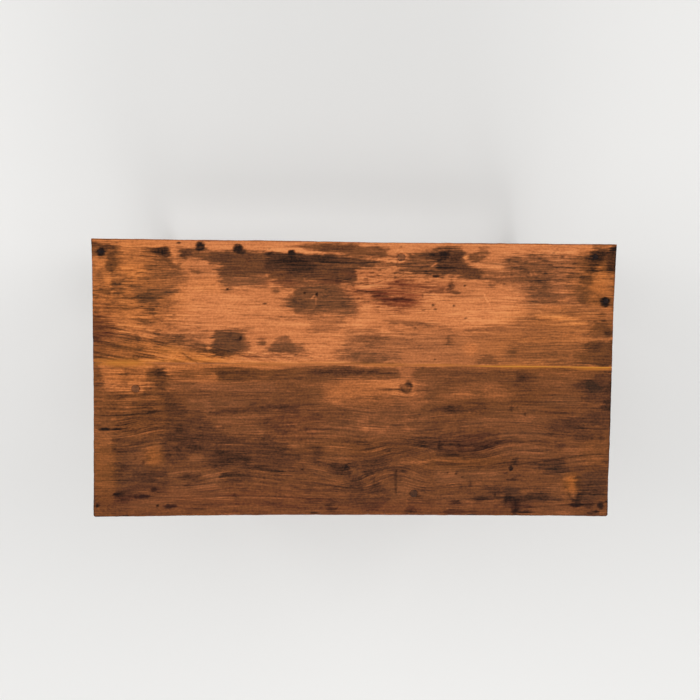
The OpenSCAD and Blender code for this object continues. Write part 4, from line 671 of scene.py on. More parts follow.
# Cracks and single dark grain lines, by (half width, strength)
CRACKS = {
    (1.0, .3): [
        [(320, 142), (400, 140)], [(-140, -240), (-60, -232), (20, -246)], [(30, -250), (70, -244)],
    ],
    (1.0, .35): [
        [(-448, 142), (-438, 138)], [(-260, 62), (-210, 52)], [(-540, 175), (-440, 163)],
        [(-560, 244), (-530, 244)], [(-236, 174), (-212, 173)], [(-250, 142), (-190, 142)],
        [(180, 248), (280, 246), (330, 240)], [(330, 60), (420, 57)], [(280, 92), (370, 91)],
        [(470, 100), (565, 99)], [(259, -232), (259, -256)], [(24, -175), (36, -184), (46, -198)],
        [(-20, -222), (0, -240), (24, -244)], [(200, -187), (260, -186), (340, -178)],
        [(-540, 24), (-490, 24)], [(-480, -4), (-440, -5)], [(-100, -106), (-20, -107)],
        [(60, -113), (110, -111)], [(-500, -210), (-450, -206)], [(-160, -225), (-100, -218), (-40, -224)],
    ],
    (1.0, .4): [
        [(-426, 24), (-425, 34)], [(-434, 18), (-444, 25)], [(-500, 92), (-463, 91)],
        [(-330, 55), (-310, 48)], [(-290, 58), (-240, 45)], [(420, 151), (470, 149), (520, 150)],
        [(-515, 165), (-440, 164), (-360, 163)], [(-530, 182), (-490, 176)], [(-232, 103), (-222, 103)],
        [(-190, 66), (-102, 66)], [(130, 127), (180, 126)], [(-478, -107), (-430, -104)],
        [(30, 5), (90, 6)], [(-356, -276), (-306, -275)], [(176, -250), (190, -266)],
        [(-330, -133), (-250, -134)], [(40, -236), (60, -226)], [(300, -160), (350, -153), (420, -156)],
        [(205, -190), (300, -178)], [(360, 0), (345, -12)], [(205, -62), (225, -70)],
        [(-330, 25), (-235, 25)], [(-500, 14), (-450, 12)], [(-490, -140), (-440, -130)],
        [(-480, -118), (-430, -108)],
    ],
    (1.0, .45): [
        [(-175, 53), (-130, 44)], [(338, 222), (338, 246)], [(-560, 156), (-455, 155)],
        [(-330, 233), (-272, 229)], [(-60, 218), (0, 213), (60, 208)], [(200, 187), (280, 185)],
        [(330, -136), (370, -134), (420, -136)],
    ],
    (1.0, .5): [
        [(-235, 55), (-200, 50), (-170, 43)], [(-137, 55), (-110, 49), (-89, 43)], [(300, 114), (240, 113)],
        [(448, 149), (453, 157), (461, 163)], [(-560, 112), (-480, 111)],
        [(80, 243), (130, 240), (180, 238)], [(0, -39), (52, -39)], [(262, -262), (300, -264), (330, -261)],
    ],
    (1.0, .55): [[(-342, 37), (-275, 36.5)]],
    (1.1, .35): [[(-330, -64), (-185, -64)], [(-430, -122), (-415, -122)]],
    (1.1, .4): [
        [(-425, -26), (-422, -48)], [(150, -268), (186, -267)], [(-300, 6), (-240, 5)],
        [(-490, -38), (-440, -32)], [(0, -124), (45, -124)],
    ],
    (1.1, .45): [
        [(-446, 1), (-424, 0), (-402, -3)], [(-440, -9), (-420, -10), (-402, -13)], [(55, 171), (78, 170)],
        [(340, 226), (282, 225)], [(-189, -272), (-169, -272)], [(-105, -127), (-85, -127)],
    ],
    (1.1, .5): [
        [(-436, -20), (-422, -20), (-408, -22)], [(-430, 35), (-412, 35)], [(260, 227), (276, 246)],
        [(60, 214), (122, 215)], [(455, 135), (508, 134.5)], [(400, 173), (450, 173), (522, 172)],
        [(-247, 113), (-220, 113)], [(10, 97), (74, 96)], [(-175, -246), (-162, -254), (-148, -257)],
        [(-70, -277), (-50, -277)], [(-570, -64), (-510, -63), (-465, -64)],
        [(36, -200), (44, -212), (46, -222), (43, -230)], [(-420, -1), (-370, -6), (-330, -7)],
    ],
    (1.1, .55): [[(-158, 291), (-132, 291)], [(106, -264), (126, -265)]],
    (1.1, .6): [
        [(-463, 91), (-440, 87), (-405, 76)], [(-370, 76), (-340, 69), (-302, 59)],
        [(19, 275), (70, 272), (190, 267)], [(125, -21), (165, -19), (204, -16)],
        [(93, -247), (97, -259), (106, -264)],
    ],
    (1.1, .7): [[(-568, 37), (-548, 36.2)], [(45, -19), (75, -19), (98, -18)]],
    (1.1, .75): [[(-442, 139), (-417, 125)]],
    (1.2, .4): [[(497, -274), (506, -266)]],
    (1.2, .45): [[(275, -147), (315, -144)], [(-398, 5), (-360, 4)]],
    (1.2, .5): [
        [(-452, 9), (-428, 10), (-404, 8)], [(70, 128), (112, 128)], [(-480, 285), (-440, 285)],
        [(-58, -287), (-38, -287)], [(219, -269), (234, -269)], [(-215, -189), (-180, -189)],
        [(-16, -195), (-11, -212)],
    ],
    (1.2, .6): [
        [(330, -283), (400, -282), (450, -279)], [(377, -293), (397, -293)], [(-353, -285), (-331, -286)],
    ],
    (1.2, .7): [
        [(245, 264), (300, 258), (340, 255)],
        [(352, -187), (390, -182), (427, -178), (461, -171), (519, -164), (568, -161)],
    ],
    (1.2, .75): [[(450, -278), (480, -277), (540, -274), (568, -271)]],
    (1.2, .8): [[(148, 230), (172, 231), (190, 230)]],
    (1.3, .6): [[(259, -177), (259, -190)], [(340, -250), (337, -278)]],
    (1.3, .7): [
        [(34, 185), (72, 184)], [(100, -16), (104, -11), (110, -10), (114, -6), (122, -7), (123, -13),
        (119, -21), (114, -27), (107, -23), (101, -17)], [(-97, -295), (-81, -294)],
    ],
    (1.3, .8): [[(-530, -109), (-508, -107.5), (-478, -107)]],
    (1.3, .9): [[(-381, 60), (-362, 48), (-342, 37)]],
    (1.4, .6): [[(259, -220), (259, -232)]],
    (1.4, .7): [[(76, 180), (128, 179)], [(137, -260), (144, -258), (150, -256)]],
    (1.4, .8): [[(181, -165), (205, -165.5), (233, -166.5)]],
    (1.4, .85): [[(508, 134.5), (552, 134)]],
    (1.5, .7): [[(361.5, -262), (361, -290)]],
    (1.5, .9): [[(1, 196.5), (30, 195), (58, 195)], [(92.7, -195), (92.2, -222), (92.5, -248)]],
    (1.6, .7): [[(-530, -256), (-516, -252), (-506, -246)]],
    (1.7, 1.0): [[(-556, -110), (-530, -109)]],
    (1.8, .6): [[(355, -290), (374, -291)], [(494, -274), (482, -258), (478, -248)]],
    (2.2, .6): [[(497, -274), (499, -262), (503, -250)]],
}
# Pale scratches, by (half width, strength)
PALE_MARKS = {
    (1.0, .35): [[(378, 244), (384, 232)], [(386, 244), (392, 234)]],
    (1.0, .5): [[(279, 193), (283, 182), (293, 170)]],
    (1.2, .3): [[(398, 160), (410, 150)]],
    (1.2, .4): [[(-88, 166), (-88, 184)]],
    (1.3, .35): [[(-302, -102), (-292, -102)]],
    (1.3, .8): [[(161, 250), (174, 258)]],
    (1.5, .10): [
        [(300, -150), (350, -141), (420, -146)], [(330, -166), (400, -160), (520, -152)],
        [(-500, -128), (-460, -118), (-425, -108)], [(-500, -112), (-460, -104), (-430, -100)],
    ],
    (1.5, .12): [[(70, -190), (110, -182), (180, -178), (260, -180)]],
    (1.5, .9): [[(-97, 179), (-91, 186)]],
    (1.6, .12): [[(-150, -225), (-100, -222), (-40, -228)]],
    (1.6, .14): [[(-398, -208), (-382, -203), (-345, -200), (-322, -206)]],
    (1.6, .16): [[(-303, -224), (-300, -211), (-288, -201), (-262, -196), (-238, -199)]],
}
# Pale chips and rubbed spots, in the same five numbers as the holes
PALE_SPOTS = [
    (238, 272, 6, 4, .45), (100, 260, 10, 6, .2), (-180, 283, 26, 5, .2), (-130, 282, 34, 5, .25),
    (-92, 278, 26, 2.5, .25), (250, 257, 34, 2.5, .25), (320, 262, 34, 3, .12), (-559, 262, 7, 6, .1),
    (-545, 240, 14, 5, .1), (-390, 256, 8, 4, .1), (488, 250, 10, 1.5, .3), (480, 128, 70, 1.5, .15),
    (440, 145, 70, 2.5, .12), (-300, -102, 3, 1.6, .4), (-293, -101, 2.5, 1.5, .4), (340, -209, 8, 2, .15),
    (560, -96, 9, 2, .3),
]
# The red tinge: (x, y, half length, half height, strength)
RED_BLOTS = [
    (92, 184, 56, 26, 1.0), (60, 197, 70, 20, .8), (104, 212, 50, 10, .9), (160, 206, 60, 14, .5),
    (30, 165, 40, 12, .25), (-160, 212, 40, 8, .35), (-60, 215, 50, 6, .3), (-550, 120, 30, 46, .3),
    (-210, 100, 30, 8, .3), (20, 232, 40, 10, .3), (-200, 50, 60, 8, .3), (-300, -270, 280, 34, .22),
    (150, -285, 300, 20, .22), (-130, -95, 60, 30, .15), (260, -140, 70, 20, .15),
]
# Golden wood, yellower than the rest, as the red tinge is given
GOLDEN_BLOTS = [
    (-500, 200, 110, 110, .7), (-480, 60, 110, 34, .8), (-560, 40, 40, 14, .5), (480, 130, 130, 40, .6),
    (540, 220, 60, 70, .8), (430, 70, 160, 60, .6), (-480, 10, 110, 26, .6), (-350, 50, 90, 18, .8),
    (-480, 250, 90, 44, .4), (-560, -110, 30, 60, .3), (-438, -168, 20, 26, .8), (-330, 205, 60, 16, .2),
    (-480, -60, 100, 80, .5), (486, -228, 20, 22, 1.0), (10, -25, 110, 30, .3), (540, -160, 40, 40, .4),
    (-545, -190, 30, 90, .7), (-350, 20, 200, 26, .5), (320, -40, 160, 40, .3), (0, -150, 120, 20, .3),
    (240, -180, 90, 20, .5),
]
# Amber filler that ran beyond the seam, given in the same way
AMBER_BLOTS = [
    (-505, 36, 60, 8, .8), (-548, 40, 24, 5, .5), (-410, 41, 50, 5, .35), (-330, 42, 50, 7, .25),
    (-200, 36, 100, 4, .30), (-60, 38, 90, 4, .25), (60, 35, 60, 4, .4), (238, 272, 5, 3, .4),
    (360, 33, 60, 4, .6), (530, 30, 44, 4, .8), (180, 35, 60, 3, .5), (-400, 64, 30, 10, .25),
]
# Knots: (x, y, half length, half height, darkness, bend of the grain round them)
KNOTS = [
    (113, -16, 12, 10, 0, .8), (-466, -258, 17, 7, .06, .9), (8, -212, 20, 16, .04, .9),
    (-477, 48, 7, 5, .2, .6), (-419, 278, 18, 9, 0, .6), (-283, 80, 14, 12, 0, .3),
    (234, -32, 24, 10, 0, .7), (-360, -211, 22, 8, 0, .6), (-270, -210, 22, 9, 0, .6),
    (497, -276, 12, 5, 0, .7), (150, -110, 50, 20, 0, .5), (-60, -110, 60, 22, 0, .4),
    (210, -80, 40, 14, 0, .5),
]
# Slow waves of the grain: (x, y, half length, half height, lift of the grain lines)
GRAIN_WAVES = [
    (-480, 70, 130, 45, 26), (-470, -115, 90, 40, -22), (-330, 62, 130, 34, 20), (-180, 55, 120, 22, 10),
    (310, -160, 90, 40, -27), (62, -165, 62, 46, -22), (-150, -210, 120, 50, 14), (460, -178, 130, 30, -16),
    (430, -95, 120, 36, 12), (190, -100, 90, 30, -12), (-60, -205, 60, 30, 16), (130, -215, 60, 40, 16),
    (-330, -215, 90, 30, -14), (20, -60, 90, 30, 8),
]
# Patches of fine dark lines: (x, y, half length, half height, strength, slope, pitch)
BACK_COMBS = [
    (-490, 75, 92, 40, .28, -.18, 3.4), (-505, 165, 80, 50, .22, -.08, 3.4),
    (-330, 54, 120, 18, .28, -.2, 3.4), (-170, 52, 90, 12, .30, -.2, 3.4), (-410, 165, 70, 34, .12, 0, 3.2),
    (-480, 245, 90, 34, .12, -.05, 3.2), (440, 250, 130, 34, .20, 0, 3.0), (430, 160, 120, 34, .18, 0, 3.2),
    (92, 178, 44, 17, .34, 0, 2.8), (90, 190, 84, 36, .20, 0, 3.0), (70, 256, 130, 22, .24, -.02, 2.8),
    (-150, 222, 60, 14, .14, 0, 2.6), (250, 120, 130, 16, .12, 0, 3.2), (430, 75, 150, 42, .08, 0, 3.0),
    (20, 90, 80, 30, .08, 0, 3.0), (180, 190, 60, 24, .12, 0, 2.8),
]
FRONT_COMBS = [
    (-480, -125, 76, 36, .12, .2, 3.6), (250, -165, 180, 34, .06, .08, 4.0),
    (450, -150, 120, 44, .06, .1, 4.0), (100, -160, 84, 44, .07, .3, 4.0), (-470, 0, 120, 35, .10, 0, 3.0),
    (-260, 10, 170, 26, .10, 0, 3.0), (60, 10, 130, 24, .08, 0, 3.0), (20, -225, 60, 30, .07, .3, 3.4),
]
# Where the grain's own lines show: (x, y, half length, half height, strength)
FIGURES = [
    (-470, -100, 90, 60, .8), (0, -170, 260, 60, .7), (330, -150, 260, 70, .8), (-200, -240, 260, 50, .7),
    (200, -250, 200, 40, .6), (-60, -100, 200, 40, .6), (300, -60, 240, 40, .5), (-480, 70, 110, 36, .9),
    (-300, 52, 160, 20, .9), (-100, 50, 100, 14, .7), (-470, 165, 110, 30, .5), (430, 160, 140, 40, .4),
    (150, 120, 140, 20, .3), (440, 60, 130, 30, .3), (-480, 0, 110, 30, .4), (-480, -230, 90, 60, .5),
    (480, -240, 110, 50, .5), (100, 210, 110, 60, .3),
]
# Wood with short dark flecks along the grain: (x, y, half length, half height, darkness)
SPECKLED = [
    (60, 205, 120, 50, .26), (110, 252, 120, 34, .22), (430, 245, 120, 44, .20), (-100, 185, 80, 40, .16),
    (-480, 200, 100, 90, .18), (-420, 100, 150, 50, .14), (450, 120, 120, 70, .10), (20, 70, 130, 40, .10),
    (-250, 160, 110, 60, .06), (280, 150, 90, 40, .08), (-470, -60, 100, 90, .10), (0, -150, 500, 130, .05),
    (-480, 0, 100, 34, .14),
]


def grain_height(x, y):
    """The height across the grain of the line that passes through each place, in millimetres."""
    v = y + 2.2 * rough(x, y, 260, 60, 11, 2) + 0.5 * rough(x, y, 70, 14, 13, 2)
    for cx, cy, rx, ry, lift in GRAIN_WAVES:
        v = v + lift * np.exp(-((x - cx) / rx) ** 2 - ((y - cy) / ry) ** 2) * (x - cx) / rx
    for cx, cy, rx, ry, _, bend in KNOTS:
        v = v - bend * (y - cy) * np.exp(-((x - cx) / (rx * 1.8)) ** 2 - ((y - cy) / (ry * 1.6)) ** 2)
    return v


def edge_distance(x, y):
    """How far each place is from the outline of the top, in millimetres."""
    return np.minimum(HALF_LENGTH - np.abs(x), HALF_DEPTH - np.abs(y))


def grain_lines(x, v, pitch, seed):
    """Thin lines that run with the grain, about a pitch apart, from 0 to 1."""
    level = rough(x, v, 420, pitch, seed, 2)
    return np.exp(-(level / 0.17) ** 2)


def top_fields(x, y):
    """Everything that the finish of the top needs at each place, as a dict of arrays."""
    v = grain_height(x, y)
    back = y > seam_y(x)
    # Streaks, flecks and clouds, which break up the borders of the stains and push them about
    streak = 0.75 * rough(x, v, 44, 1.9, 31, 2) + 0.5 * rough(x, v, 80, 4.4, 34, 2)
    short = rough(x, v, 17, 1.7, 32, 2)
    cloud = rough(x, y, 26, 12, 35, 4)
    puff = rough(x, y, 20, 15, 36, 4)
    fleck = rough(x, y, 9, 4, 39, 3)
    back_breaks = np.clip(0.45 * streak + 0.30 * cloud + 0.45 * fleck + 0.40 * short, -1.6, 1.6)
    front_breaks = np.clip(0.25 * streak + 0.40 * puff + 0.45 * fleck + 0.25 * short, -1.5, 1.5)
    wx = x - 0.5 + 3.0 * rough(x, y, 40, 9, 45, 3) + 1.6 * np.where(back, streak, puff)
    wy = y + 0.7 + 1.7 * rough(x, y, 24, 14, 47, 3)

    # The stains and the combed lines of each board
    tone, olive, border = np.empty_like(x), np.empty_like(x), np.empty_like(x)
    for side, base, breaks, marks, lines in ((back, BACK_BASE, back_breaks, BACK_STAINS, BACK_COMBS),
                                             (~back, FRONT_BASE, front_breaks, FRONT_STAINS, FRONT_COMBS)):
        tone[side], olive[side], border[side] = stains(wx[side], wy[side], base, breaks[side], marks)
        tone[side] += combs(wx[side], y[side], breaks[side], lines)
    # The wood between them: streaks, strongest in the borders, then flecks, clouds and the grain's own lines
    tone = tone + (np.where(back, 0.026, 0.018) + 0.05 * border) * streak + (0.024 + 0.03 * border) * short
    flecked = spots(x, y, SPECKLED, 0.7)
    tone = tone + 1.3 * flecked * (smooth((rough(x, v, 13, 2.8, 71, 2) - 0.35) / 0.5) - 0.04)
    border = np.clip(0.8 * border + 2.6 * flecked, 0, 1)
    tone = tone + 0.016 * rough(x, v, 200, 6, 33, 3)
    tone = tone + np.where(back, 0.018 * cloud, 0.034 * puff) + np.where(back, 0.024, 0.032) * fleck
    figure = spots(x, y, FIGURES, 0.7)
    lines = grain_lines(x, v, 15, 81) - 0.6 * grain_lines(x, v + 2.5, 15, 81)
    lines = lines + 0.7 * grain_lines(x, v, 9, 85)
    tone = tone + np.where(back, 0.10, 0.17) * figure * lines

    # Black cores, and the rings of the knots
    core = np.clip(spots(x, y, CORES, 0.3, 0.2), 0, 1)
    tone = tone + (1.0 - np.minimum(tone, 1.0)) * core
    for cx, cy, rx, ry, dark, _ in KNOTS:
        d = np.hypot((x - cx) / rx, (y - cy) / ry) + 0.1 * cloud
        ring = np.exp(-((d - 0.95) / 0.16) ** 2)
        tone = tone + dark * (1.6 * ring + 0.6 * smooth((1.1 - d) / 0.3) * (0.6 + 0.4 * np.cos(d * 16)))

    # Cracks, holes and pale marks, a dark line along the edges that is partly worn arris and partly painted
    # shade, and the tints
    crack_y = y + 0.7 * rough(x, y, 14, 14, 51, 2)
    gaps = 0.75 + 0.35 * rough(x, y, 9, 9, 53, 2)
    black = np.maximum(spots(x, y, HOLES, 0.35, 0.12), strokes(x, crack_y, CRACKS) * gaps)
    pale = np.maximum(strokes(x, y, PALE_MARKS), spots(x, y, PALE_SPOTS, 0.5, 0.15)) * (1 - core)
    # A dark line within 4 mm of the outline: partly worn arris, partly painted shade along the edges
    tone = tone + 0.3 * smooth((4 - edge_distance(x, y)) / 4)
    red = spots(wx, wy, RED_BLOTS, 0.7) * (0.7 + 0.5 * streak)
    golden = spots(x, y, GOLDEN_BLOTS, 0.7)
    line = np.exp(-((y - seam_y(x)) / 1.5) ** 2)
    amber = np.maximum(line * (0.12 + 0.88 * smooth((x - 200) / 90)), spots(x, y, AMBER_BLOTS, 0.6, 0.1))
    amber = amber * np.clip(1.2 - 0.8 * core + 0.1 * streak, 0, 1)
    keep = {"tone": tone, "black": black, "pale": pale, "red": red, "grime": olive, "amber": amber,
            "golden": golden, "edginess": border, "core": core}
    return {"v": v, "rubbed": streak, **{name: np.clip(field, 0, 1) for name, field in keep.items()}}


def top_relief(x, y, fields):
    """How far each place of the top's face lies below its true plane, in millimetres."""
    # Holes and cracks, slow waves and raised grain, and wood eaten away under the black cores
    drop = 1.1 * spots(x, y, HOLES, 0.35, 0.12) + 0.6 * strokes(x, y, CRACKS)
    drop = drop + 0.25 * (1 + rough(x, y, 160, 90, 61, 2)) + 0.05 * (1 + fields["rubbed"])
    drop = drop + 0.25 * fields["core"]
    # A ring round each knot, a groove and a seat for each plug, and a pit for each nail's head
    for cx, cy, rx, ry, _, _ in KNOTS:
        d = np.hypot((x - cx) / rx, (y - cy) / ry)
        drop = drop + 0.3 * np.exp(-((d - 1.0) / 0.16) ** 2)
    for cx, cy in PLUGS:
        drop = drop + 0.9 * np.exp(-((np.hypot(x - cx, y - cy) - PLUG_R) / 0.9) ** 2)
        drop = drop + 4.0 * smooth((PLUG_R - 0.2 - np.hypot(x - cx, y - cy)) / 0.8)
    for cx, cy in NAILS:
        drop = drop + 2.0 * smooth((NAIL_R + 1.6 - np.hypot(x - cx, y - cy)) / 2.0)
    return drop + 0.6 * smooth((3 - edge_distance(x, y)) / 3)


# The plugs over the screws and the nails' heads: centres on the top, in millimetres
PLUGS = [(-477.0, -20.0), (96.0, 270.5), (132.5, -251.0)]
PLUG_R = 8.5
NAILS = [(-549.5, 276.0), (523.0, 276.0), (549.5, 179.0)]
NAIL_R = 6.0


# Making pieces

def add(tree, kind, inputs=None, stops=None, **settings):
    """Adds a node to a material, with its settings, and its sockets, by order or by name, linked or set."""
    node = tree.nodes.new("ShaderNode" + kind)
    for name, value in settings.items():
        setattr(node, name, value)
    for place, colour in (stops or {}).items():
        ramp = node.color_ramp.elements
        stop = ramp[0] if place == 0 else ramp[-1] if place == 1 else ramp.new(place)
        stop.color = colour
    for key, value in inputs.items() if isinstance(inputs, dict) else enumerate(inputs or []):
        if isinstance(value, bpy.types.Node):
            value = value.outputs[0]
        if isinstance(value, bpy.types.NodeSocket):
            tree.links.new(value, node.inputs[key])
        else:
            node.inputs[key].default_value = value
    return node


def material(name):
    """The node tree of a new material, emptied."""
    made = bpy.data.materials.new(name)
    made.use_nodes = True
    made.node_tree.nodes.clear()
    return made.node_tree


def finish_piece(name, bm, materials, node_names, sharp=35):
    """Turns a bmesh in metres into a piece that rides on the table and stands for its CAD nodes."""
    bmesh.ops.recalc_face_normals(bm, faces=bm.faces)
    mesh = bpy.data.meshes.new(name)
    bm.to_mesh(mesh)
    bm.free()
    piece = bpy.data.objects.new(name, mesh)
    bpy.context.scene.collection.objects.link(piece)
    for made in materials:
        mesh.materials.append(bpy.data.materials[made])
    mesh.polygons.foreach_set("use_smooth", [True] * len(mesh.polygons))
    mesh.set_sharp_from_angle(angle=math.radians(sharp))
    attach(piece, BODY)
    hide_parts(*node_names)
    return piece


def places(mesh):
    """The mesh's vertices in millimetres, one row each."""
    flat = np.empty(len(mesh.vertices) * 3)
    mesh.vertices.foreach_get("co", flat)
    return flat.reshape(-1, 3) / MM


def put_places(mesh, points):
    """Moves the mesh's vertices to the given places in millimetres."""
    mesh.vertices.foreach_set("co", (points * MM).ravel())
    mesh.update()


def put_field(mesh, name, *values):
    """Keeps up to three numbers for each vertex, for the material to read."""
    rows = np.zeros((len(mesh.vertices), 3), dtype=np.float32)
    rows[:, :len(values)] = np.stack(values, axis=1)
    mesh.attributes.new(name, "FLOAT_VECTOR", "POINT").data.foreach_set("vector", rows.ravel())


def put_top_fields(mesh, x, fields):
    """Keeps what the finishes of the boards and of the filler read."""
    put_field(mesh, "tone", fields["tone"], fields["edginess"])
    put_field(mesh, "tint", fields["grime"], fields["red"], fields["amber"])
    put_field(mesh, "figure", x * MM, fields["v"] * MM, fields["black"])


def hollow_and_rise(mesh):
    """How far each vertex stands out of its neighbours, in millimetres: edges above 0, corners below."""
    points = places(mesh)
    ends = np.empty(len(mesh.edges) * 2, dtype=int)
    mesh.edges.foreach_get("vertices", ends)
    a, b = ends[0::2], ends[1::2]
    total, count = np.zeros_like(points), np.zeros(len(points))
    for one, other in ((a, b), (b, a)):
        np.add.at(total, one, points[other])
        np.add.at(count, one, 1)
    normals = np.empty(len(points) * 3)
    mesh.vertices.foreach_get("normal", normals)
    return np.sum((points - total / count[:, None]) * normals.reshape(-1, 3), axis=1)


# The top: two boards, the filler between them, plugs and nails

# The boards' sides below the face: (out from the face's edge, down, out on the seam's side), in millimetres
RIM = [(0.0, 0.0, 0.0), (0.7, 0.35, 0.0), (1.2, 1.3, 0.0), (1.2, FILLER_DEPTH, 0.0),
       (1.2, FILLER_DEPTH + 0.05, 1.05), (1.2, 14.0, 1.05), (1.2, BOARD_THICKNESS - 1.5, 1.05),
       (0.5, BOARD_THICKNESS - 0.4, 1.05), (-1.0, BOARD_THICKNESS, 1.0)]
RIM_OUT = max(step[0] for step in RIM)
# How near its end a place along a board one unit long counts as on the end
ON_END = 1e-6


def board_blank(columns, rows):
    """A board one unit long and wide: a fine face, with one loop of edges to each step of the rim."""
    bm = bmesh.new()
    bmesh.ops.create_grid(bm, x_segments=columns, y_segments=rows, size=0.5)
    rim = [e for e in bm.edges if e.is_boundary]
    for _ in RIM[1:]:
        grown = bmesh.ops.extrude_edge_only(bm, edges=rim)["geom"]
        verts = {g for g in grown if isinstance(g, bmesh.types.BMVert)}
        bmesh.ops.translate(bm, verts=list(verts), vec=(0, 0, -1))
        rim = [g for g in grown if isinstance(g, bmesh.types.BMEdge) and set(g.verts) <= verts]
    bmesh.ops.holes_fill(bm, edges=rim, sides=0)
    return bm


def board_piece(name, node, columns, rows, back):
    """One board of the top, with its worn outline, its relief and the fields that its finish reads."""
    piece = finish_piece(name, board_blank(columns, rows), ["Waxed old pine", "Bare old pine"], [node],
                         60)
    mesh = piece.data
    unit = places(mesh) * MM
    s, t = np.clip(unit[:, 0] + 0.5, 0, 1), np.clip(unit[:, 1] + 0.5, 0, 1)
    step = np.rint(-unit[:, 2]).astype(int)
    out, down, seam_out = (np.array([row[i] for row in RIM])[step] for i in range(3))

    half_x = HALF_LENGTH - RIM_OUT + out * ((s < ON_END) | (s > 1 - ON_END))
    x = (2 * s - 1) * half_x
    at_front, at_back = t < ON_END, t > 1 - ON_END
    outer = HALF_DEPTH - RIM_OUT + out * (at_back if back else at_front)
    if back:
        y_low = seam_y(x) + FILLER_HALF - seam_out * at_front
        y = y_low + (outer - y_low) * t
    else:
        y_high = seam_y(x) - FILLER_HALF + seam_out * at_back
        y = -outer + (y_high + outer) * t
    x, y = worn_outline(x, y)
    # The outer long side carries on from the face as if folded down, in the brown that hands give an edge
    fold = down * (at_back if back else -1.0 * at_front)
    fields = top_fields(x, y + fold)
    handled = 0.5 + 0.04 * fields["rubbed"] + 0.05 * rough(x, y + fold, 90, 8, 75, 3)
    fields["tone"] = fields["tone"] + (handled - fields["tone"]) * np.clip(np.abs(fold) / 2.5, 0, 1) * 0.8
    ease = np.exp(-down / 2)
    z = TOP_Z / MM - down - top_relief(x, y, fields) * ease
    put_places(mesh, np.stack([x, y, z], axis=1))

    put_top_fields(mesh, x, fields)
    put_field(mesh, "marks", fields["pale"], np.clip(down / 6, 0, 1), fields["golden"])
    for face in mesh.polygons:
        if face.normal.z < -0.9:
            face.material_index = 1
    mesh.update()


def filler_piece():
    """The amber filler in the seam, which follows it from end to end."""
    bm = bmesh.new()
    bmesh.ops.create_grid(bm, x_segments=420, y_segments=3, size=0.5)
    grown = bmesh.ops.extrude_face_region(bm, geom=bm.faces[:])["geom"]
    bmesh.ops.translate(bm, verts=[g for g in grown if isinstance(g, bmesh.types.BMVert)], vec=(0, 0, 1))
    piece = finish_piece("seam_filler_wax", bm, ["Hard amber wax"], ["seam_filler"], 60)
    unit = places(piece.data) * MM
    x = unit[:, 0] * 2 * (HALF_LENGTH - 2.6)
    y = seam_y(x) + unit[:, 1] * 2 * (FILLER_HALF - 0.02)
    fields = top_fields(x, y)
    top = unit[:, 2] > 0.5
    dome = 0.25 * (1 - (unit[:, 1] * 2) ** 2) - 0.35 + 0.12 * rough(x, y, 20, 6, 71, 2)
    z = TOP_Z / MM + np.where(top, dome - 0.3, -FILLER_DEPTH)
    put_places(piece.data, np.stack([x, y, z], axis=1))
    put_top_fields(piece.data, x, fields)


def spun(bm, profile, steps, centre=(0, 0, 0), turn=None):
    """Adds a turned solid: points (radius, height) in millimetres, from one pole to the other."""
    made = [bm.verts.new((r * MM, 0, z * MM)) for r, z in profile]
    edges = [bm.edges.new(pair) for pair in zip(made, made[1:])]
    before = set(bm.verts) - set(made)
    bmesh.ops.spin(bm, geom=made + edges, cent=(0, 0, 0), axis=(0, 0, 1), angle=math.tau, steps=steps,
                   use_merge=True)
    bmesh.ops.remove_doubles(bm, verts=[v for v in bm.verts if v not in before], dist=1e-6)
    fresh = [v for v in bm.verts if v not in before]
    place = Matrix.Translation(Vector(centre) * MM) @ (turn or Matrix.Identity(4))
    bmesh.ops.transform(bm, matrix=place, verts=fresh)
    return fresh


def plugs_piece():
    """Three round wood plugs, a little proud, each in a dark ring."""
    bm = bmesh.new()
    r = PLUG_R - 0.35
    profile = [(0, -7), (r, -7), (r, -0.9), (r - 0.15, -0.45), (r - 0.6, -0.15), (r * 0.7, -0.08),
               (r * 0.35, -0.05), (0, -0.05)]
    for x, y in PLUGS:
        spun(bm, profile, 40, (x, y, TOP_Z / MM))
    piece = finish_piece("screw_plugs", bm, ["Wood plug"], ["top_plugs"], 50)
    points = places(piece.data)
    put_field(piece.data, "tone", top_fields(points[:, 0], points[:, 1])["tone"])


def nails_piece():
    """Three old nails, whose domed heads lie in pits."""
    bm = bmesh.new()
    profile = [(0, -30), (1.5, -30), (1.8, -2.4), (NAIL_R - 0.8, -2.3), (NAIL_R, -1.6), (NAIL_R - 0.3, -1.0),
               (NAIL_R * 0.72, -0.45), (NAIL_R * 0.36, -0.15), (0, -0.1)]
    for i, (x, y) in enumerate(NAILS):
        for v in spun(bm, profile, 24, (x, y, TOP_Z / MM)):
            a = math.atan2(v.co.y - y * MM, v.co.x - x * MM)
            if v.co.z > TOP_Z - 3 * MM:
                v.co.x = x * MM + (v.co.x - x * MM) * (1 + 0.06 * math.cos(4 * a + i))
                v.co.y = y * MM + (v.co.y - y * MM) * (1 + 0.07 * math.sin(3 * a + 2 * i))
    finish_piece("nail_heads", bm, ["Rusted wrought iron"], ["top_nails"], 50)


# The frame underneath: legs, aprons, stretchers, battens, pegs and blocks

# Half the width of a leg's square blocks, and how far their eased corners reach, in millimetres
LEG_HALF = 29.0
CORNER_LEG_R = 39.7


def bead(widest, low, height):
    """Points (radius, height) of a half-round bead, from below to above."""
    r = height / 2
    angles = [math.pi * i / 8 for i in range(9)]
    return [(widest - r + r * math.sin(a), low + r - r * math.cos(a)) for a in angles]


def sweep(r0, z0, r1, z1, count):
    """Points of a smooth S-curve between two radii."""
    return [(r0 + (r1 - r0) * (1 - math.cos(math.pi * i / count)) / 2, z0 + (z1 - z0) * i / count)
            for i in range(count + 1)]


def shoulder(r0, z0, r1, z1, count=7):
    """Points of a quarter-round shoulder, steep first, where turning meets a square block."""
    angles = [math.pi / 2 * i / count for i in range(count + 1)]
    return [(r0 + (r1 - r0) * math.sin(a), z0 + (z1 - z0) * (1 - math.cos(a))) for a in angles]


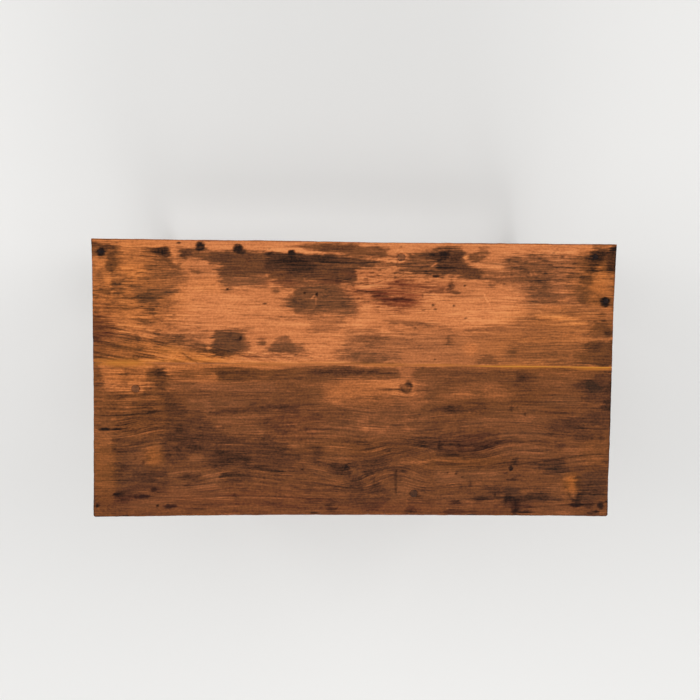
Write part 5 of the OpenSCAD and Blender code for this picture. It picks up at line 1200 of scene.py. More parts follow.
def block(z0, z1, pitch=6.0):
    """Points up the side of a square block."""
    count = max(2, round((z1 - z0) / pitch))
    return [(CORNER_LEG_R, z0 + (z1 - z0) * i / count) for i in range(count + 1)]


def leg_profile():
    """The turned leg from its foot to the top: points (radius, height) in millimetres."""
    points = [(0, 0), (12, 0), (17.0, 0), (18, 1.0), (18.6, 3.0)]
    points += sweep(20, 4, 26.5, 32, 9) + sweep(26.5, 32, 15, 59, 9)[1:]
    points += [(20.5, 59.5)] + bead(24.5, 62, 9) + [(20.5, 73.5)]
    points += shoulder(22.5, 74, CORNER_LEG_R, 88) + block(88, 164)[1:]
    points += shoulder(22.5, 178, CORNER_LEG_R, 164)[::-1][1:]
    points += [(20.5, 178.5), (20.5, 180.8)] + bead(26.5, 181, 12) + [(20.5, 193.2), (17.2, 195.8)]
    points += sweep(17, 196, 26.5, 258, 14) + sweep(26.5, 258, 15, 420, 26)[1:]
    points += [(16.5, 420.5), (16.5, 422.8)] + bead(21, 423, 9) + [(16.5, 432.2), (16.2, 434.5)]
    points += sweep(15, 435, 20.5, 535, 16) + [(22.4, 535.6), (22.5, 537.8)] + bead(26.5, 538, 12)
    points += [(20.5, 550.2), (20.5, 552.8)]
    points += shoulder(22.5, 553, CORNER_LEG_R, 567) + block(567, 695)[1:] + [(20, 695), (0, 695)]
    return points


# Where the middle of each leg stands
LEGS = {"leg_front_left": (-463.0, -237.0), "leg_front_right": (463.0, -237.0),
        "leg_back_left": (-463.0, 256.5), "leg_back_right": (463.0, 256.5)}


# The frame's upper faces, which bear the top, stay flat: all that is above this height, in millimetres
BEARING_Z = 694


def age_wood(piece, seed, along_axis, wave=0.35, dent=0.5, hold=None):
    """Wears a piece: waves and dents its faces, rounds its edges, and keeps what its finish reads.

    The grain runs along the given axis. Vertices that hold marks stay where they are."""
    mesh = piece.data
    points = places(mesh)
    normals = np.empty(len(points) * 3)
    mesh.vertices.foreach_get("normal", normals)
    normals = normals.reshape(-1, 3)
    order = {"x": (0, 1, 2), "y": (1, 0, 2), "z": (2, 0, 1)}[along_axis]
    u, v, w = (points[:, i] for i in order)
    rise = hollow_and_rise(mesh)
    edge = smooth(rise / 0.5)
    hollow = smooth(-rise / 0.35)
    waves = rough(u, v + w * 1.7, 90, 26, seed, 3)
    nick = smooth((rough(u, v - w, 15, 9, seed + 11, 3) - 0.75) / 0.5)
    bruise = 0.5 + 0.5 * rough(u, v + w, 34, 20, seed + 21, 2)
    move = -wave * 0.5 * (1 + waves) - dent * edge * bruise - 0.5 * dent * nick * edge
    if hold is not None:
        move = np.where(hold(points), 0, move)
    put_places(mesh, points + normals * move[:, None])
    wear = edge * (0.65 + 0.5 * rough(u, v + w, 46, 18, seed + 31, 3)) + 0.25 * smooth(waves - 0.6)
    wear = np.clip(wear, 0, 1)
    dirt = np.clip(hollow + 0.5 * smooth(rough(u, v + w * 1.3, 120, 40, seed + 41, 4) - 0.2), 0, 1)
    shift = np.random.default_rng(seed).uniform(-3, 3, 3)
    put_field(mesh, "figure", u * MM + shift[0], v * MM + shift[1], w * MM + shift[2])
    put_field(mesh, "wear", wear, dirt, np.full(len(points), shift[0] / 6 + 0.5))


def leg_piece(name, x, y, seed):
    """One turned leg with its square blocks."""
    bm = bmesh.new()
    turned = spun(bm, leg_profile(), 96)
    for v in turned:
        v.co.x = min(max(v.co.x, -LEG_HALF * MM), LEG_HALF * MM)
        v.co.y = min(max(v.co.y, -LEG_HALF * MM), LEG_HALF * MM)
    bmesh.ops.translate(bm, verts=turned, vec=(x * MM, y * MM, 0))
    piece = finish_piece(name + "_turned", bm, ["Oiled dark pine"], [name], 32)
    age_wood(piece, seed, "z", 0.3, 0.7, hold=lambda p: (p[:, 2] < 0.5) | (p[:, 2] > BEARING_Z))


def bar_blank(low, high, ease, pitch):
    """A bar between two corners, in millimetres, cut into cells of about the pitch, its edges eased."""
    bm = bmesh.new()
    bmesh.ops.create_cube(bm, size=1)
    size = Vector(high) - Vector(low)
    bmesh.ops.scale(bm, verts=bm.verts, vec=size * MM)
    bmesh.ops.translate(bm, verts=bm.verts, vec=(Vector(low) + size / 2) * MM)
    for axis in range(3):
        cuts = max(1, round(size[axis] / pitch[axis])) - 1
        if cuts:
            edges = [e for e in bm.edges
                     if abs((e.verts[0].co - e.verts[1].co)[axis]) > size[axis] * MM * 0.9]
            bmesh.ops.subdivide_edges(bm, edges=edges, cuts=cuts, use_grid_fill=True)
    arris = [e for e in bm.edges if e.calc_face_angle(0) > 1]
    bmesh.ops.bevel(bm, geom=arris, offset=ease * MM, offset_type="OFFSET", segments=3, profile=0.5,
                    material=-1, affect="EDGES")
    return bm


def slice_bar(bm, axis, places_mm):
    """Cuts the whole bar across at the given heights or lengths, in millimetres."""
    for place in places_mm:
        normal, spot = Vector((0, 0, 0)), Vector((0, 0, 0))
        normal[axis], spot[axis] = 1, place * MM
        everything = bm.verts[:] + bm.edges[:] + bm.faces[:]
        bmesh.ops.bisect_plane(bm, geom=everything, plane_co=spot, plane_no=normal)


APRON_LOW, APRON_HIGH = 590.0, 695.0
# The scratched line along the aprons: heights where its sides start and where its bottom lies
SCRATCH = (598.6, 599.3, 601.2, 601.9)
SCRATCH_DEPTH = 1.5
# Each apron: two corners, the axis it runs along, and the direction of its outer face
APRONS = {
    "apron_front": ((-435.5, -263.0), (435.5, -239.0), "x", (0, -1)),
    "apron_back": ((-435.5, 258.5), (435.5, 282.5), "x", (0, 1)),
    "apron_left": ((-489.0, -209.5), (-465.0, 229.0), "y", (-1, 0)),
    "apron_right": ((465.0, -209.5), (489.0, 229.0), "y", (1, 0)),
}


def apron_piece(name, low, high, axis, outward, seed):
    """One apron, with the scratched line along its outer face."""
    pitch = (9, 8, 8) if axis == "x" else (8, 9, 8)
    bm = bar_blank((*low, APRON_LOW), (*high, APRON_HIGH), 1.4, pitch)
    slice_bar(bm, 2, SCRATCH)
    out = Vector((*outward, 0))
    face = max(v.co.dot(out) for v in bm.verts)
    for v in bm.verts:
        if face - v.co.dot(out) < 0.1 * MM and SCRATCH[0] + 0.01 < v.co.z / MM < SCRATCH[3] - 0.01:
            v.co -= out * SCRATCH_DEPTH * MM
    piece = finish_piece(name + "_board", bm, ["Oiled dark pine"], [name], 40)
    age_wood(piece, seed, axis, 0.4, 0.8, hold=lambda p: p[:, 2] > BEARING_Z)


STRETCHER_LOW, STRETCHER_HIGH, STRETCHER_WIDTH = 103.0, 149.0, 28.0
# The height from which feet have worn a stretcher, and from which its wood is rubbed pale
WORN_FROM, RUBBED_FROM = 115.0, 138.0
# Each stretcher: two corners, the axis it runs along, the direction of its outer face, and how many
# millimetres feet have worn off its upper outer edge
STRETCHERS = {
    "stretcher_front": ((-435.5, -251.0), (435.5, -223.0), "x", (0, -1), 5.0),
    "stretcher_back": ((-435.5, 242.5), (435.5, 270.5), "x", (0, 1), 3.4),
    "stretcher_left": ((-477.0, -209.5), (-449.0, 229.0), "y", (-1, 0), 4.2),
    "stretcher_right": ((449.0, -209.5), (477.0, 229.0), "y", (1, 0), 4.6),
}


def stretcher_piece(name, low, high, axis, outward, worn, seed):
    """One stretcher, its upper outer edge worn down by feet."""
    pitch = (8, 6, 6) if axis == "x" else (6, 8, 6)
    bm = bar_blank((*low, STRETCHER_LOW), (*high, STRETCHER_HIGH), 2.2, pitch)
    piece = finish_piece(name + "_rail", bm, ["Oiled dark pine"], [name], 40)
    mesh = piece.data
    points = places(mesh)
    run = points[:, 0] if axis == "x" else points[:, 1]
    across = points[:, 1] if axis == "x" else points[:, 0]
    sign = outward[1] if axis == "x" else outward[0]
    middle, half = (run.min() + run.max()) / 2, (run.max() - run.min()) / 2
    outer = smooth((across * sign - (across * sign).min()) / STRETCHER_WIDTH)
    scoop = smooth(1.12 - np.abs(run - middle) / half)
    scoop = scoop * (0.75 + 0.25 * rough(run, run * 0, 130, 9, seed + 5, 2))
    up = smooth((points[:, 2] - WORN_FROM) / (STRETCHER_HIGH - WORN_FROM))
    points[:, 2] -= worn * scoop * up * (0.25 + 0.75 * outer)
    side = 1 if axis == "x" else 0
    points[:, side] -= sign * 0.45 * worn * scoop * up * outer
    put_places(mesh, points)
    age_wood(piece, seed, axis, 0.5, 0.9)
    layer = mesh.attributes["wear"].data
    flat = np.empty(len(points) * 3, dtype=np.float32)
    layer.foreach_get("vector", flat)
    wear = flat.reshape(-1, 3)
    rubbed = smooth((points[:, 2] - RUBBED_FROM) / 8)
    wear[:, 0] = np.clip(wear[:, 0] + 0.9 * scoop * rubbed * outer, 0, 1)
    layer.foreach_set("vector", wear.ravel())


# Two corners of each batten
BATTENS = {"end_batten_left": ((-560, -289.5, 675), (-512, 289.5, 695)),
           "end_batten_right": ((512, -289.5, 675), (560, 289.5, 695))}


def batten_piece(name, low, high, seed):
    """One end batten under the top, its edges eased."""
    bm = bar_blank(low, high, 2.0, (6, 8, 5))
    piece = finish_piece(name + "_board", bm, ["Oiled dark pine"], [name], 40)
    age_wood(piece, seed, "y", 0.4, 0.8, hold=lambda p: p[:, 2] > BEARING_Z)


# Two corners of each block
BLOCKS = [((x - 35, y0, 673), (x + 35, y0 + 22, 695)) for x in (-215, 215) for y0 in (-239, 236.5)] + [
    ((x0, 9.75 - 35, 673), (x0 + 22, 9.75 + 35, 695)) for x0 in (-465, 443)]


def blocks_piece():
    """Six rubbed-in glue blocks between the aprons and the top, their edges eased."""
    bm = bmesh.new()
    for low, high in BLOCKS:
        part = bar_blank(low, high, 1.2, (6, 6, 6))
        mesh = bpy.data.meshes.new("block")
        part.to_mesh(mesh)
        part.free()
        bm.from_mesh(mesh)
        bpy.data.meshes.remove(mesh)
    piece = finish_piece("rubbed_glue_blocks", bm, ["Oiled dark pine"], ["glue_blocks"], 40)
    age_wood(piece, 611, "x", 0.3, 0.5, hold=lambda p: p[:, 2] > BEARING_Z)


# Pegs: their heights, how far inward of a leg's middle they stand, their radius and how deep they go
APRON_PEG_Z = (616.5, 660.5)
STRETCHER_PEG_Z = 126.0
APRON_PEG_SHIFT, STRETCHER_PEG_SHIFT = 12, 18
PEG_R, PEG_DEEP = 4.0, 12


def pegs_piece(name, node, shift, heights, seed):
    """The pegs through one kind of joint: each stands a little out of its leg, domed and uneven."""
    bm = bmesh.new()
    rng = np.random.default_rng(seed)
    for x, y in LEGS.values():
        inward_x, inward_y = -np.sign(x), 1 if y < 0 else -1
        for z in heights:
            long_side = (x + inward_x * shift, y - inward_y * LEG_HALF, z)
            short_side = (x - inward_x * LEG_HALF, y + inward_y * shift, z)
            for centre, turn in ((long_side, Matrix.Rotation(math.pi / 2 * inward_y, 4, "X")),
                                 (short_side, Matrix.Rotation(math.pi / 2 * -inward_x, 4, "Y"))):
                r = PEG_R - 0.1
                high = 0.45 + 0.5 * rng.random()
                profile = [(0, -PEG_DEEP), (r, -PEG_DEEP), (r, high - 0.5), (r - 0.3, high - 0.15),
                           (r * 0.7, high), (r * 0.3, high + 0.05), (0, high + 0.05)]
                made = spun(bm, profile, 16, centre, turn)
                lean = rng.uniform(-0.25, 0.25, 3) * MM
                bmesh.ops.translate(bm, verts=made, vec=lean)
    finish_piece(name, bm, ["Peg end grain"], [node], 50)


# The finishes

def grain(tree, u, v, length_mm, width_mm, detail=3.0, w=0.0):
    """Streaks of noise along the grain, from 0 to 1, of about the given length and width."""
    along_it = add(tree, "Math", [u, 1 / (length_mm * MM)], operation="MULTIPLY")
    across = add(tree, "Math", [v, 1 / (width_mm * MM)], operation="MULTIPLY")
    place = add(tree, "CombineXYZ", [along_it, across, w])
    return add(tree, "TexNoise", {"Vector": place, "Scale": 1.0, "Detail": detail, "Roughness": 0.55})


def top_finish(colours):
    """Old pine with wax: softwood gone orange-brown, with dark grain, grime and iron stains in dull wax."""
    tree = material("Waxed old pine")
    (q, edginess, _), (grime, red, amber), (u, v, black), (pale, side, golden) = (
        add(tree, "SeparateXYZ", [add(tree, "Attribute", attribute_name=name).outputs["Vector"]]).outputs
        for name in ("tone", "tint", "figure", "marks"))

    # Late wood lines about 5 mm apart; fibres under 1 mm wide are drawn at 1.9 mm, coarse enough to show
    lines = grain(tree, u, v, 190, 5.2, 2.0)
    fibres = grain(tree, u, v, 60, 1.9, 3.0, 4.0)
    hairs = grain(tree, u, v, 26, 0.8, 2.0, 9.0)
    pores = grain(tree, u, v, 14, 1.5, 1.0, 13.0)
    mottle = grain(tree, u, v, 5, 4.5, 2.0, 17.0)
    # The streaks are centred on nought, so that they darken and lighten the painted darkness alike
    fibre_share = add(tree, "Math", [edginess, 0.75, 0.50], operation="MULTIPLY_ADD")
    over = add(tree, "Math", [pores, 0.66], operation="SUBTRACT")
    pore_over = add(tree, "Math", [over, 0.0], operation="MAXIMUM")
    dark = q
    for streaks, share in ((lines, 0.34), (fibres, fibre_share), (hairs, 0.30), (mottle, 0.40)):
        centred = add(tree, "Math", [streaks, 0.5], operation="SUBTRACT")
        dark = add(tree, "Math", [centred, share, dark], operation="MULTIPLY_ADD")
    for mark, share in ((pore_over, 1.3), (pale, -0.55)):
        dark = add(tree, "Math", [mark, share, dark], operation="MULTIPLY_ADD")

    colour = add(tree, "ValToRGB", [dark], stops={
        0: colours.pale_pine, 0.15: colours.honey_pine, 0.30: colours.orange_pine,
        0.45: colours.brown_pine, 0.60: colours.dark_pine, 0.75: colours.umber_stain,
        0.88: colours.black_brown, 1: colours.black_stain})
    colour = add(tree, "Mix", {0: golden, 6: colour, 7: colours.golden_tint}, data_type="RGBA",
                 blend_type="MULTIPLY").outputs[2]
    for where, share, cover in ((grime, 0.32, colours.grime), (red, fibres, colours.red_stain),
                                (amber, 0.75, colours.amber), (black, 0.95, colours.soot)):
        laid = add(tree, "Math", [where, share], operation="MULTIPLY")
        colour = add(tree, "Mix", {0: laid, 6: colour, 7: cover}, data_type="RGBA").outputs[2]

    # End grain on the short sides: darker, with rings in place of lines
    coords = add(tree, "TexCoord").outputs["Object"]
    facing = add(tree, "SeparateXYZ", [add(tree, "NewGeometry").outputs["Normal"]]).outputs[0]
    sharp = add(tree, "Math", [facing, 4.0], operation="POWER")
    end = add(tree, "Math", [sharp, side], operation="MULTIPLY")
    rings = add(tree, "TexWave", {"Vector": coords, "Scale": 46.0, "Distortion": 3.0, "Detail": 2.0},
                wave_type="RINGS", rings_direction="X").outputs["Fac"]
    end_colour = add(tree, "Mix", {0: rings, 6: colours.end_grain_dark, 7: colours.end_grain},
                     data_type="RGBA").outputs[2]
    end = add(tree, "Math", [end, 0.85], operation="MULTIPLY", use_clamp=True)
    colour = add(tree, "Mix", {0: end, 6: colour, 7: end_colour}, data_type="RGBA").outputs[2]

    # Wax: dull in the dark grime, a soft shine on the rubbed wood, with its fibres standing a little
    smear = add(tree, "TexNoise", {"Vector": coords, "Scale": 9.0, "Detail": 3.0})
    roughness = add(tree, "Math", [dark, 0.10, 0.40], operation="MULTIPLY_ADD")
    roughness = add(tree, "Math", [smear, 0.16, roughness], operation="MULTIPLY_ADD")
    roughness = add(tree, "Math", [black, 0.3, roughness], operation="MULTIPLY_ADD")
    height = add(tree, "Math", [lines, -0.6], operation="MULTIPLY")
    height = add(tree, "Math", [fibres, -0.5, height], operation="MULTIPLY_ADD")
    height = add(tree, "Math", [height, pore_over], operation="SUBTRACT")
    bump = add(tree, "Bump", {"Strength": 0.22, "Distance": 0.0006, "Height": height})
    surface = add(tree, "BsdfPrincipled", {"Base Color": colour, "Roughness": roughness, "Normal": bump,
                                           "IOR": 1.45, "Specular IOR Level": 0.1})
    add(tree, "OutputMaterial", [surface])


def wax_finish(colours):
    """Hard amber filler wax: clear yellow where it is clean, dull and brown where hands have soiled it."""
    tree = material("Hard amber wax")
    (q, *_), (*_, amber), (u, v, black) = (
        add(tree, "SeparateXYZ", [add(tree, "Attribute", attribute_name=name).outputs["Vector"]]).outputs
        for name in ("tone", "tint", "figure"))
    # Clouds about 30 mm long and 6 mm across, as the wax was pressed in along the seam
    cloud = grain(tree, u, v, 30, 6, 3.0)
    paler = add(tree, "Math", [q, 0.25], operation="SUBTRACT")
    dark = add(tree, "Math", [cloud, 0.5, paler], operation="MULTIPLY_ADD")
    soiled = add(tree, "ValToRGB", [dark], stops={
        0: colours.honey_pine, 0.45: colours.brown_pine, 0.75: colours.dark_pine, 1: colours.black_brown})
    bright = add(tree, "MapRange", {"Value": amber, "From Min": 0.75, "To Max": 0.8})
    clean = add(tree, "Mix", {0: bright, 6: colours.amber, 7: colours.amber_light},
                data_type="RGBA").outputs[2]
    colour = add(tree, "Mix", {0: amber, 6: soiled, 7: clean}, data_type="RGBA").outputs[2]
    colour = add(tree, "Mix", {0: black, 6: colour, 7: colours.soot}, data_type="RGBA").outputs[2]
    bump = add(tree, "Bump", {"Strength": 0.2, "Distance": 0.0005, "Height": cloud})
    surface = add(tree, "BsdfPrincipled", {"Base Color": colour, "Roughness": 0.42, "Normal": bump,
                                           "IOR": 1.44, "Specular IOR Level": 0.25})
    add(tree, "OutputMaterial", [surface])


def plug_finish(colours):
    """A pine plug in the same wax: long grain turned its own way, a shade darker than the board round it."""
    tree = material("Wood plug")
    tone = add(tree, "Attribute", attribute_name="tone")
    q = add(tree, "SeparateXYZ", [tone.outputs["Vector"]]).outputs[0]
    coords = add(tree, "TexCoord").outputs["Object"]
    # Streaks about 33 mm long and 2.4 mm wide: real fibres are finer, and wouldn't show on so small a plug
    turned = add(tree, "Mapping", {"Vector": coords, "Rotation": (0.0, 0.0, 0.5),
                                   "Scale": (30.0, 420.0, 30.0)})
    streaks = add(tree, "TexNoise", {"Vector": turned, "Scale": 1.0, "Detail": 3.0})
    darker = add(tree, "Math", [q, 0.18], operation="ADD")
    dark = add(tree, "Math", [streaks, 0.34, darker], operation="MULTIPLY_ADD")
    colour = add(tree, "ValToRGB", [dark], stops={
        0: colours.honey_pine, 0.30: colours.orange_pine, 0.50: colours.brown_pine, 0.75: colours.dark_pine,
        1: colours.black_brown})
    bump = add(tree, "Bump", {"Strength": 0.2, "Distance": 0.0005, "Height": streaks})
    surface = add(tree, "BsdfPrincipled", {"Base Color": colour, "Roughness": 0.5, "Normal": bump,
                                           "Specular IOR Level": 0.22})
    add(tree, "OutputMaterial", [surface])


def frame_finish(colours):
    """Pine darkened with oil and smoke, rubbed back to warmer wood on its edges, dirt in its corners."""
    tree = material("Oiled dark pine")
    (u, v, w), (wear, dirt, own) = (
        add(tree, "SeparateXYZ", [add(tree, "Attribute", attribute_name=name).outputs["Vector"]]).outputs
        for name in ("figure", "wear"))
    # Growth rings about 4 mm apart that wander along the piece. Fibres under 1 mm wide are drawn at 1.8 mm,
    # coarse enough to show
    slow = add(tree, "Math", [u, 2.2], operation="MULTIPLY")
    wander = add(tree, "CombineXYZ", [slow, own])
    drift = add(tree, "TexNoise", {"Vector": wander, "Scale": 1.0, "Detail": 2.0})
    both = add(tree, "Math", [v, w], operation="ADD")
    apart = add(tree, "Math", [v, w], operation="SUBTRACT")
    rings = grain(tree, u, add(tree, "Math", [drift, 0.03, both], operation="MULTIPLY_ADD"), 420, 4.2, 2.0)
    fibres = grain(tree, u, apart, 70, 1.8, 3.0, 5.0)
    hairs = grain(tree, u, apart, 25, 0.7, 2.0, 9.0)
    patches = grain(tree, u, both, 160, 60, 3.0, 2.0)
    dark = add(tree, "Math", [own, 0.08, -0.42], operation="MULTIPLY_ADD")
    for streaks, share in ((rings, 0.62), (fibres, 0.48), (hairs, 0.16), (patches, 0.50)):
        dark = add(tree, "Math", [streaks, share, dark], operation="MULTIPLY_ADD")
    colour = add(tree, "ValToRGB", [dark], stops={
        0: colours.frame_warm, 0.35: colours.frame_mid, 0.65: colours.frame_dark, 1: colours.frame_black})
    # Hands and feet rub the edges unevenly, and dirt stays where they don't reach
    for where, streaks, gain, least, cover in ((wear, fibres, 1.1, 0.2, colours.frame_worn),
                                               (dirt, patches, 0.6, 0.4, colours.dirt)):
        uneven = add(tree, "Math", [streaks, gain, least], operation="MULTIPLY_ADD")
        laid = add(tree, "Math", [where, uneven], operation="MULTIPLY")
        laid = add(tree, "Math", [laid, 0.85], operation="MINIMUM")
        colour = add(tree, "Mix", {0: laid, 6: colour, 7: cover}, data_type="RGBA").outputs[2]
    roughness = add(tree, "Math", [patches, 0.2, 0.34], operation="MULTIPLY_ADD")
    roughness = add(tree, "Math", [dirt, 0.2, roughness], operation="MULTIPLY_ADD")
    height = add(tree, "Math", [rings, -0.7], operation="MULTIPLY")
    height = add(tree, "Math", [fibres, 0.5, height], operation="MULTIPLY_ADD")
    bump = add(tree, "Bump", {"Strength": 0.3, "Distance": 0.0007, "Height": height})
    surface = add(tree, "BsdfPrincipled", {"Base Color": colour, "Roughness": roughness, "Normal": bump,
                                           "IOR": 1.45, "Specular IOR Level": 0.35})
    add(tree, "OutputMaterial", [surface])


def bare_finish(colours):
    """Pine that was never finished, as under the top: sawn, dusty and greyed brown by air."""
    tree = material("Bare old pine")
    coords = add(tree, "TexCoord").outputs["Object"]
    x, y, _ = add(tree, "SeparateXYZ", [coords]).outputs
    # Growth rings about 7 mm apart, with the saw's marks across them. Fibres under 1 mm wide are drawn at
    # 1.8 mm, coarse enough to show
    rings = grain(tree, x, y, 320, 7, 3.0)
    fibres = grain(tree, x, y, 50, 1.8, 3.0, 3.0)
    saw = grain(tree, y, x, 260, 3.5, 1.0, 8.0)
    dust = add(tree, "TexNoise", {"Vector": coords, "Scale": 7.0, "Detail": 4.0})
    dark = add(tree, "Math", [dust, 0.3, -0.1], operation="MULTIPLY_ADD")
    dark = add(tree, "Math", [fibres, 0.3, dark], operation="MULTIPLY_ADD")
    dark = add(tree, "Math", [rings, 0.5, dark], operation="MULTIPLY_ADD")
    colour = add(tree, "ValToRGB", [dark], stops={
        0: colours.bare_light, 0.45: colours.bare_mid, 1: colours.bare_dark})
    height = add(tree, "Math", [fibres, 0.5], operation="MULTIPLY")
    height = add(tree, "Math", [saw, 0.6, height], operation="MULTIPLY_ADD")
    bump = add(tree, "Bump", {"Strength": 0.4, "Distance": 0.0008, "Height": height})
    surface = add(tree, "BsdfPrincipled", {"Base Color": colour, "Roughness": 0.75, "Normal": bump,
                                           "Specular IOR Level": 0.25})
    add(tree, "OutputMaterial", [surface])


def peg_finish(colours):
    """End grain of riven oak pegs, nearly black with oil and dirt, its pores as fine pits."""
    tree = material("Peg end grain")
    coords = add(tree, "TexCoord").outputs["Object"]
    # Pits about 1 mm across, coarser than real pores so that they show, in clouds of about 6 mm
    pits = add(tree, "TexNoise", {"Vector": coords, "Scale": 900.0, "Detail": 2.0})
    cloud = add(tree, "TexNoise", {"Vector": coords, "Scale": 160.0, "Detail": 3.0})
    dark = add(tree, "Math", [cloud, 0.6], operation="MULTIPLY")
    dark = add(tree, "Math", [pits, 0.5, dark], operation="MULTIPLY_ADD")
    colour = add(tree, "ValToRGB", [dark], stops={
        0: colours.frame_mid, 0.5: colours.frame_dark, 1: colours.frame_black})
    bump = add(tree, "Bump", {"Strength": 0.4, "Distance": 0.0004, "Height": pits})
    surface = add(tree, "BsdfPrincipled", {"Base Color": colour, "Roughness": 0.55, "Normal": bump,
                                           "Specular IOR Level": 0.3})
    add(tree, "OutputMaterial", [surface])


def iron_finish(colours):
    """Wrought iron, long rusted and rubbed with wax: near black, brown in its pits, with a dull shine."""
    tree = material("Rusted wrought iron")
    coords = add(tree, "TexCoord").outputs["Object"]
    # Rust in patches about 4 mm across
    scale = add(tree, "TexNoise", {"Vector": coords, "Scale": 260.0, "Detail": 4.0, "Roughness": 0.6})
    rust = add(tree, "MapRange", {"Value": scale, "From Min": 0.40, "From Max": 0.56, "To Min": 0.15})
    colour = add(tree, "Mix", {0: rust, 6: colours.iron, 7: colours.rust}, data_type="RGBA").outputs[2]
    metal = add(tree, "Math", [rust, -0.3, 0.3], operation="MULTIPLY_ADD")
    roughness = add(tree, "Math", [rust, 0.4, 0.30], operation="MULTIPLY_ADD")
    bump = add(tree, "Bump", {"Strength": 0.5, "Distance": 0.0005, "Height": scale})
    surface = add(tree, "BsdfPrincipled", {"Base Color": colour, "Metallic": metal, "Roughness": roughness,
                                           "Normal": bump, "Specular IOR Level": 0.15})
    add(tree, "OutputMaterial", [surface])


def floor_finish():
    """Matt pale paint, the same all over."""
    tree = material("Matt pale floor")
    surface = add(tree, "BsdfPrincipled", {"Base Color": linear("#f0efed"), "Roughness": 0.9,
                                           "Specular IOR Level": 0.1})
    add(tree, "OutputMaterial", [surface])


# The settings that a user would change

def colour_setting(name, default, description):
    """A colour property with an sRGB default."""
    return FloatVectorProperty(name=name, description=description, default=linear(default), size=4,
                               min=0, max=1, subtype="COLOR")


class TableColours(bpy.types.PropertyGroup):
    """Colours of the woods, stains and iron."""
    pale_pine: colour_setting("Pale pine", "#E39158", "The lightest wood of the top")
    honey_pine: colour_setting("Honey pine", "#D27E4A", "Light wood of the back board")
    orange_pine: colour_setting("Orange pine", "#B76B3D", "Middling wood of the top")
    brown_pine: colour_setting("Brown pine", "#925531", "Light wood of the front board")
    dark_pine: colour_setting("Dark pine", "#754525", "Most of the front board")
    umber_stain: colour_setting("Umber stain", "#593320", "Soaked-in stains")
    black_brown: colour_setting("Black-brown stain", "#412616", "The cores of stains")
    black_stain: colour_setting("Black stain", "#1D110E", "Stains round the iron")
    grime: colour_setting("Grime", "#4A3829", "Greenish grime on the back board")
    red_stain: colour_setting("Red stain", "#82311E", "The red stain on the back board")
    amber: colour_setting("Amber wax", "#C4772C", "The filler in the seam")
    amber_light: colour_setting("Light amber wax", "#E0A02C", "The cleanest filler")
    golden_tint: colour_setting("Golden tint", "#FFF9CC", "What yellows the golden wood")
    soot: colour_setting("Soot", "#120B09", "Cracks and holes")
    end_grain: colour_setting("End grain", "#6B3A22", "The short sides of the top")
    end_grain_dark: colour_setting("Dark end grain", "#3A1E14", "Late wood on the short sides")
    frame_warm: colour_setting("Frame, warm", "#8A5530", "The lightest wood of the frame")
    frame_mid: colour_setting("Frame, middling", "#66401F", "Most of the frame")
    frame_dark: colour_setting("Frame, dark", "#472A1A", "The dark grain of the frame")
    frame_black: colour_setting("Frame, blackened", "#241510", "The darkest grain of the frame")
    frame_worn: colour_setting("Frame, worn", "#A66B3A", "Rubbed edges of the frame")
    dirt: colour_setting("Dirt", "#23160F", "Dirt in corners")
    bare_light: colour_setting("Bare pine, light", "#8E6A48", "The unfinished underside")
    bare_mid: colour_setting("Bare pine, middling", "#6D4E34", "The unfinished underside")
    bare_dark: colour_setting("Bare pine, dark", "#473222", "Late wood of the underside")
    iron: colour_setting("Iron", "#1D1819", "Clean iron")
    rust: colour_setting("Rust", "#25140F", "Rust on the iron")


class TableSizes(bpy.types.PropertyGroup):
    """How finely the top is cut, and the camera's lens."""
    columns: IntProperty(name="Columns", description="Cells along each board", default=400, min=50, max=400)
    back_rows: IntProperty(name="Back rows", description="Cells across the back board", default=180,
                           min=20, max=200)
    front_rows: IntProperty(name="Front rows", description="Cells across the front board", default=220,
                            min=20, max=222)
    lens: FloatProperty(name="Lens", description="Focal length on a 36 mm sensor", default=65.742,
                        min=20, max=200, unit="CAMERA")


# The operators: one for each piece or group of like pieces, and one for the stage

class MakeFinishes(bpy.types.Operator):
    """Makes the finishes of all pieces"""
    bl_idname = "tavern_table.finishes"
    bl_label = "Finishes"

    def execute(self, context):
        colours = context.scene.table_colours
        for finish in (top_finish, wax_finish, plug_finish, frame_finish, bare_finish, peg_finish,
                       iron_finish):
            finish(colours)
        floor_finish()
        return {"FINISHED"}


# The camera that sees the top as the photograph does: place in metres, turn in degrees
CAMERA_PLACE = (-0.1751, 0.3499, 3.4887)
CAMERA_TURN = (-5.858, -3.286, 0.711)
SENSOR_WIDTH = 36.0
FLOOR_RADIUS = 14
WORLD_STRENGTH = 0.88
# Soft lights, none of which the waxed top mirrors to the camera: name, place and diameter in metres, watts
SOFT_LIGHTS = [
    ("left soft light", (-3.4, 0.9, 3.0), 3.0, 75), ("right soft light", (3.4, 1.3, 3.2), 3.0, 66),
    ("front soft light", (0.6, -3.6, 2.8), 2.6, 54),
]
LIGHTS_AIM = Vector((0, 0, 0.6))


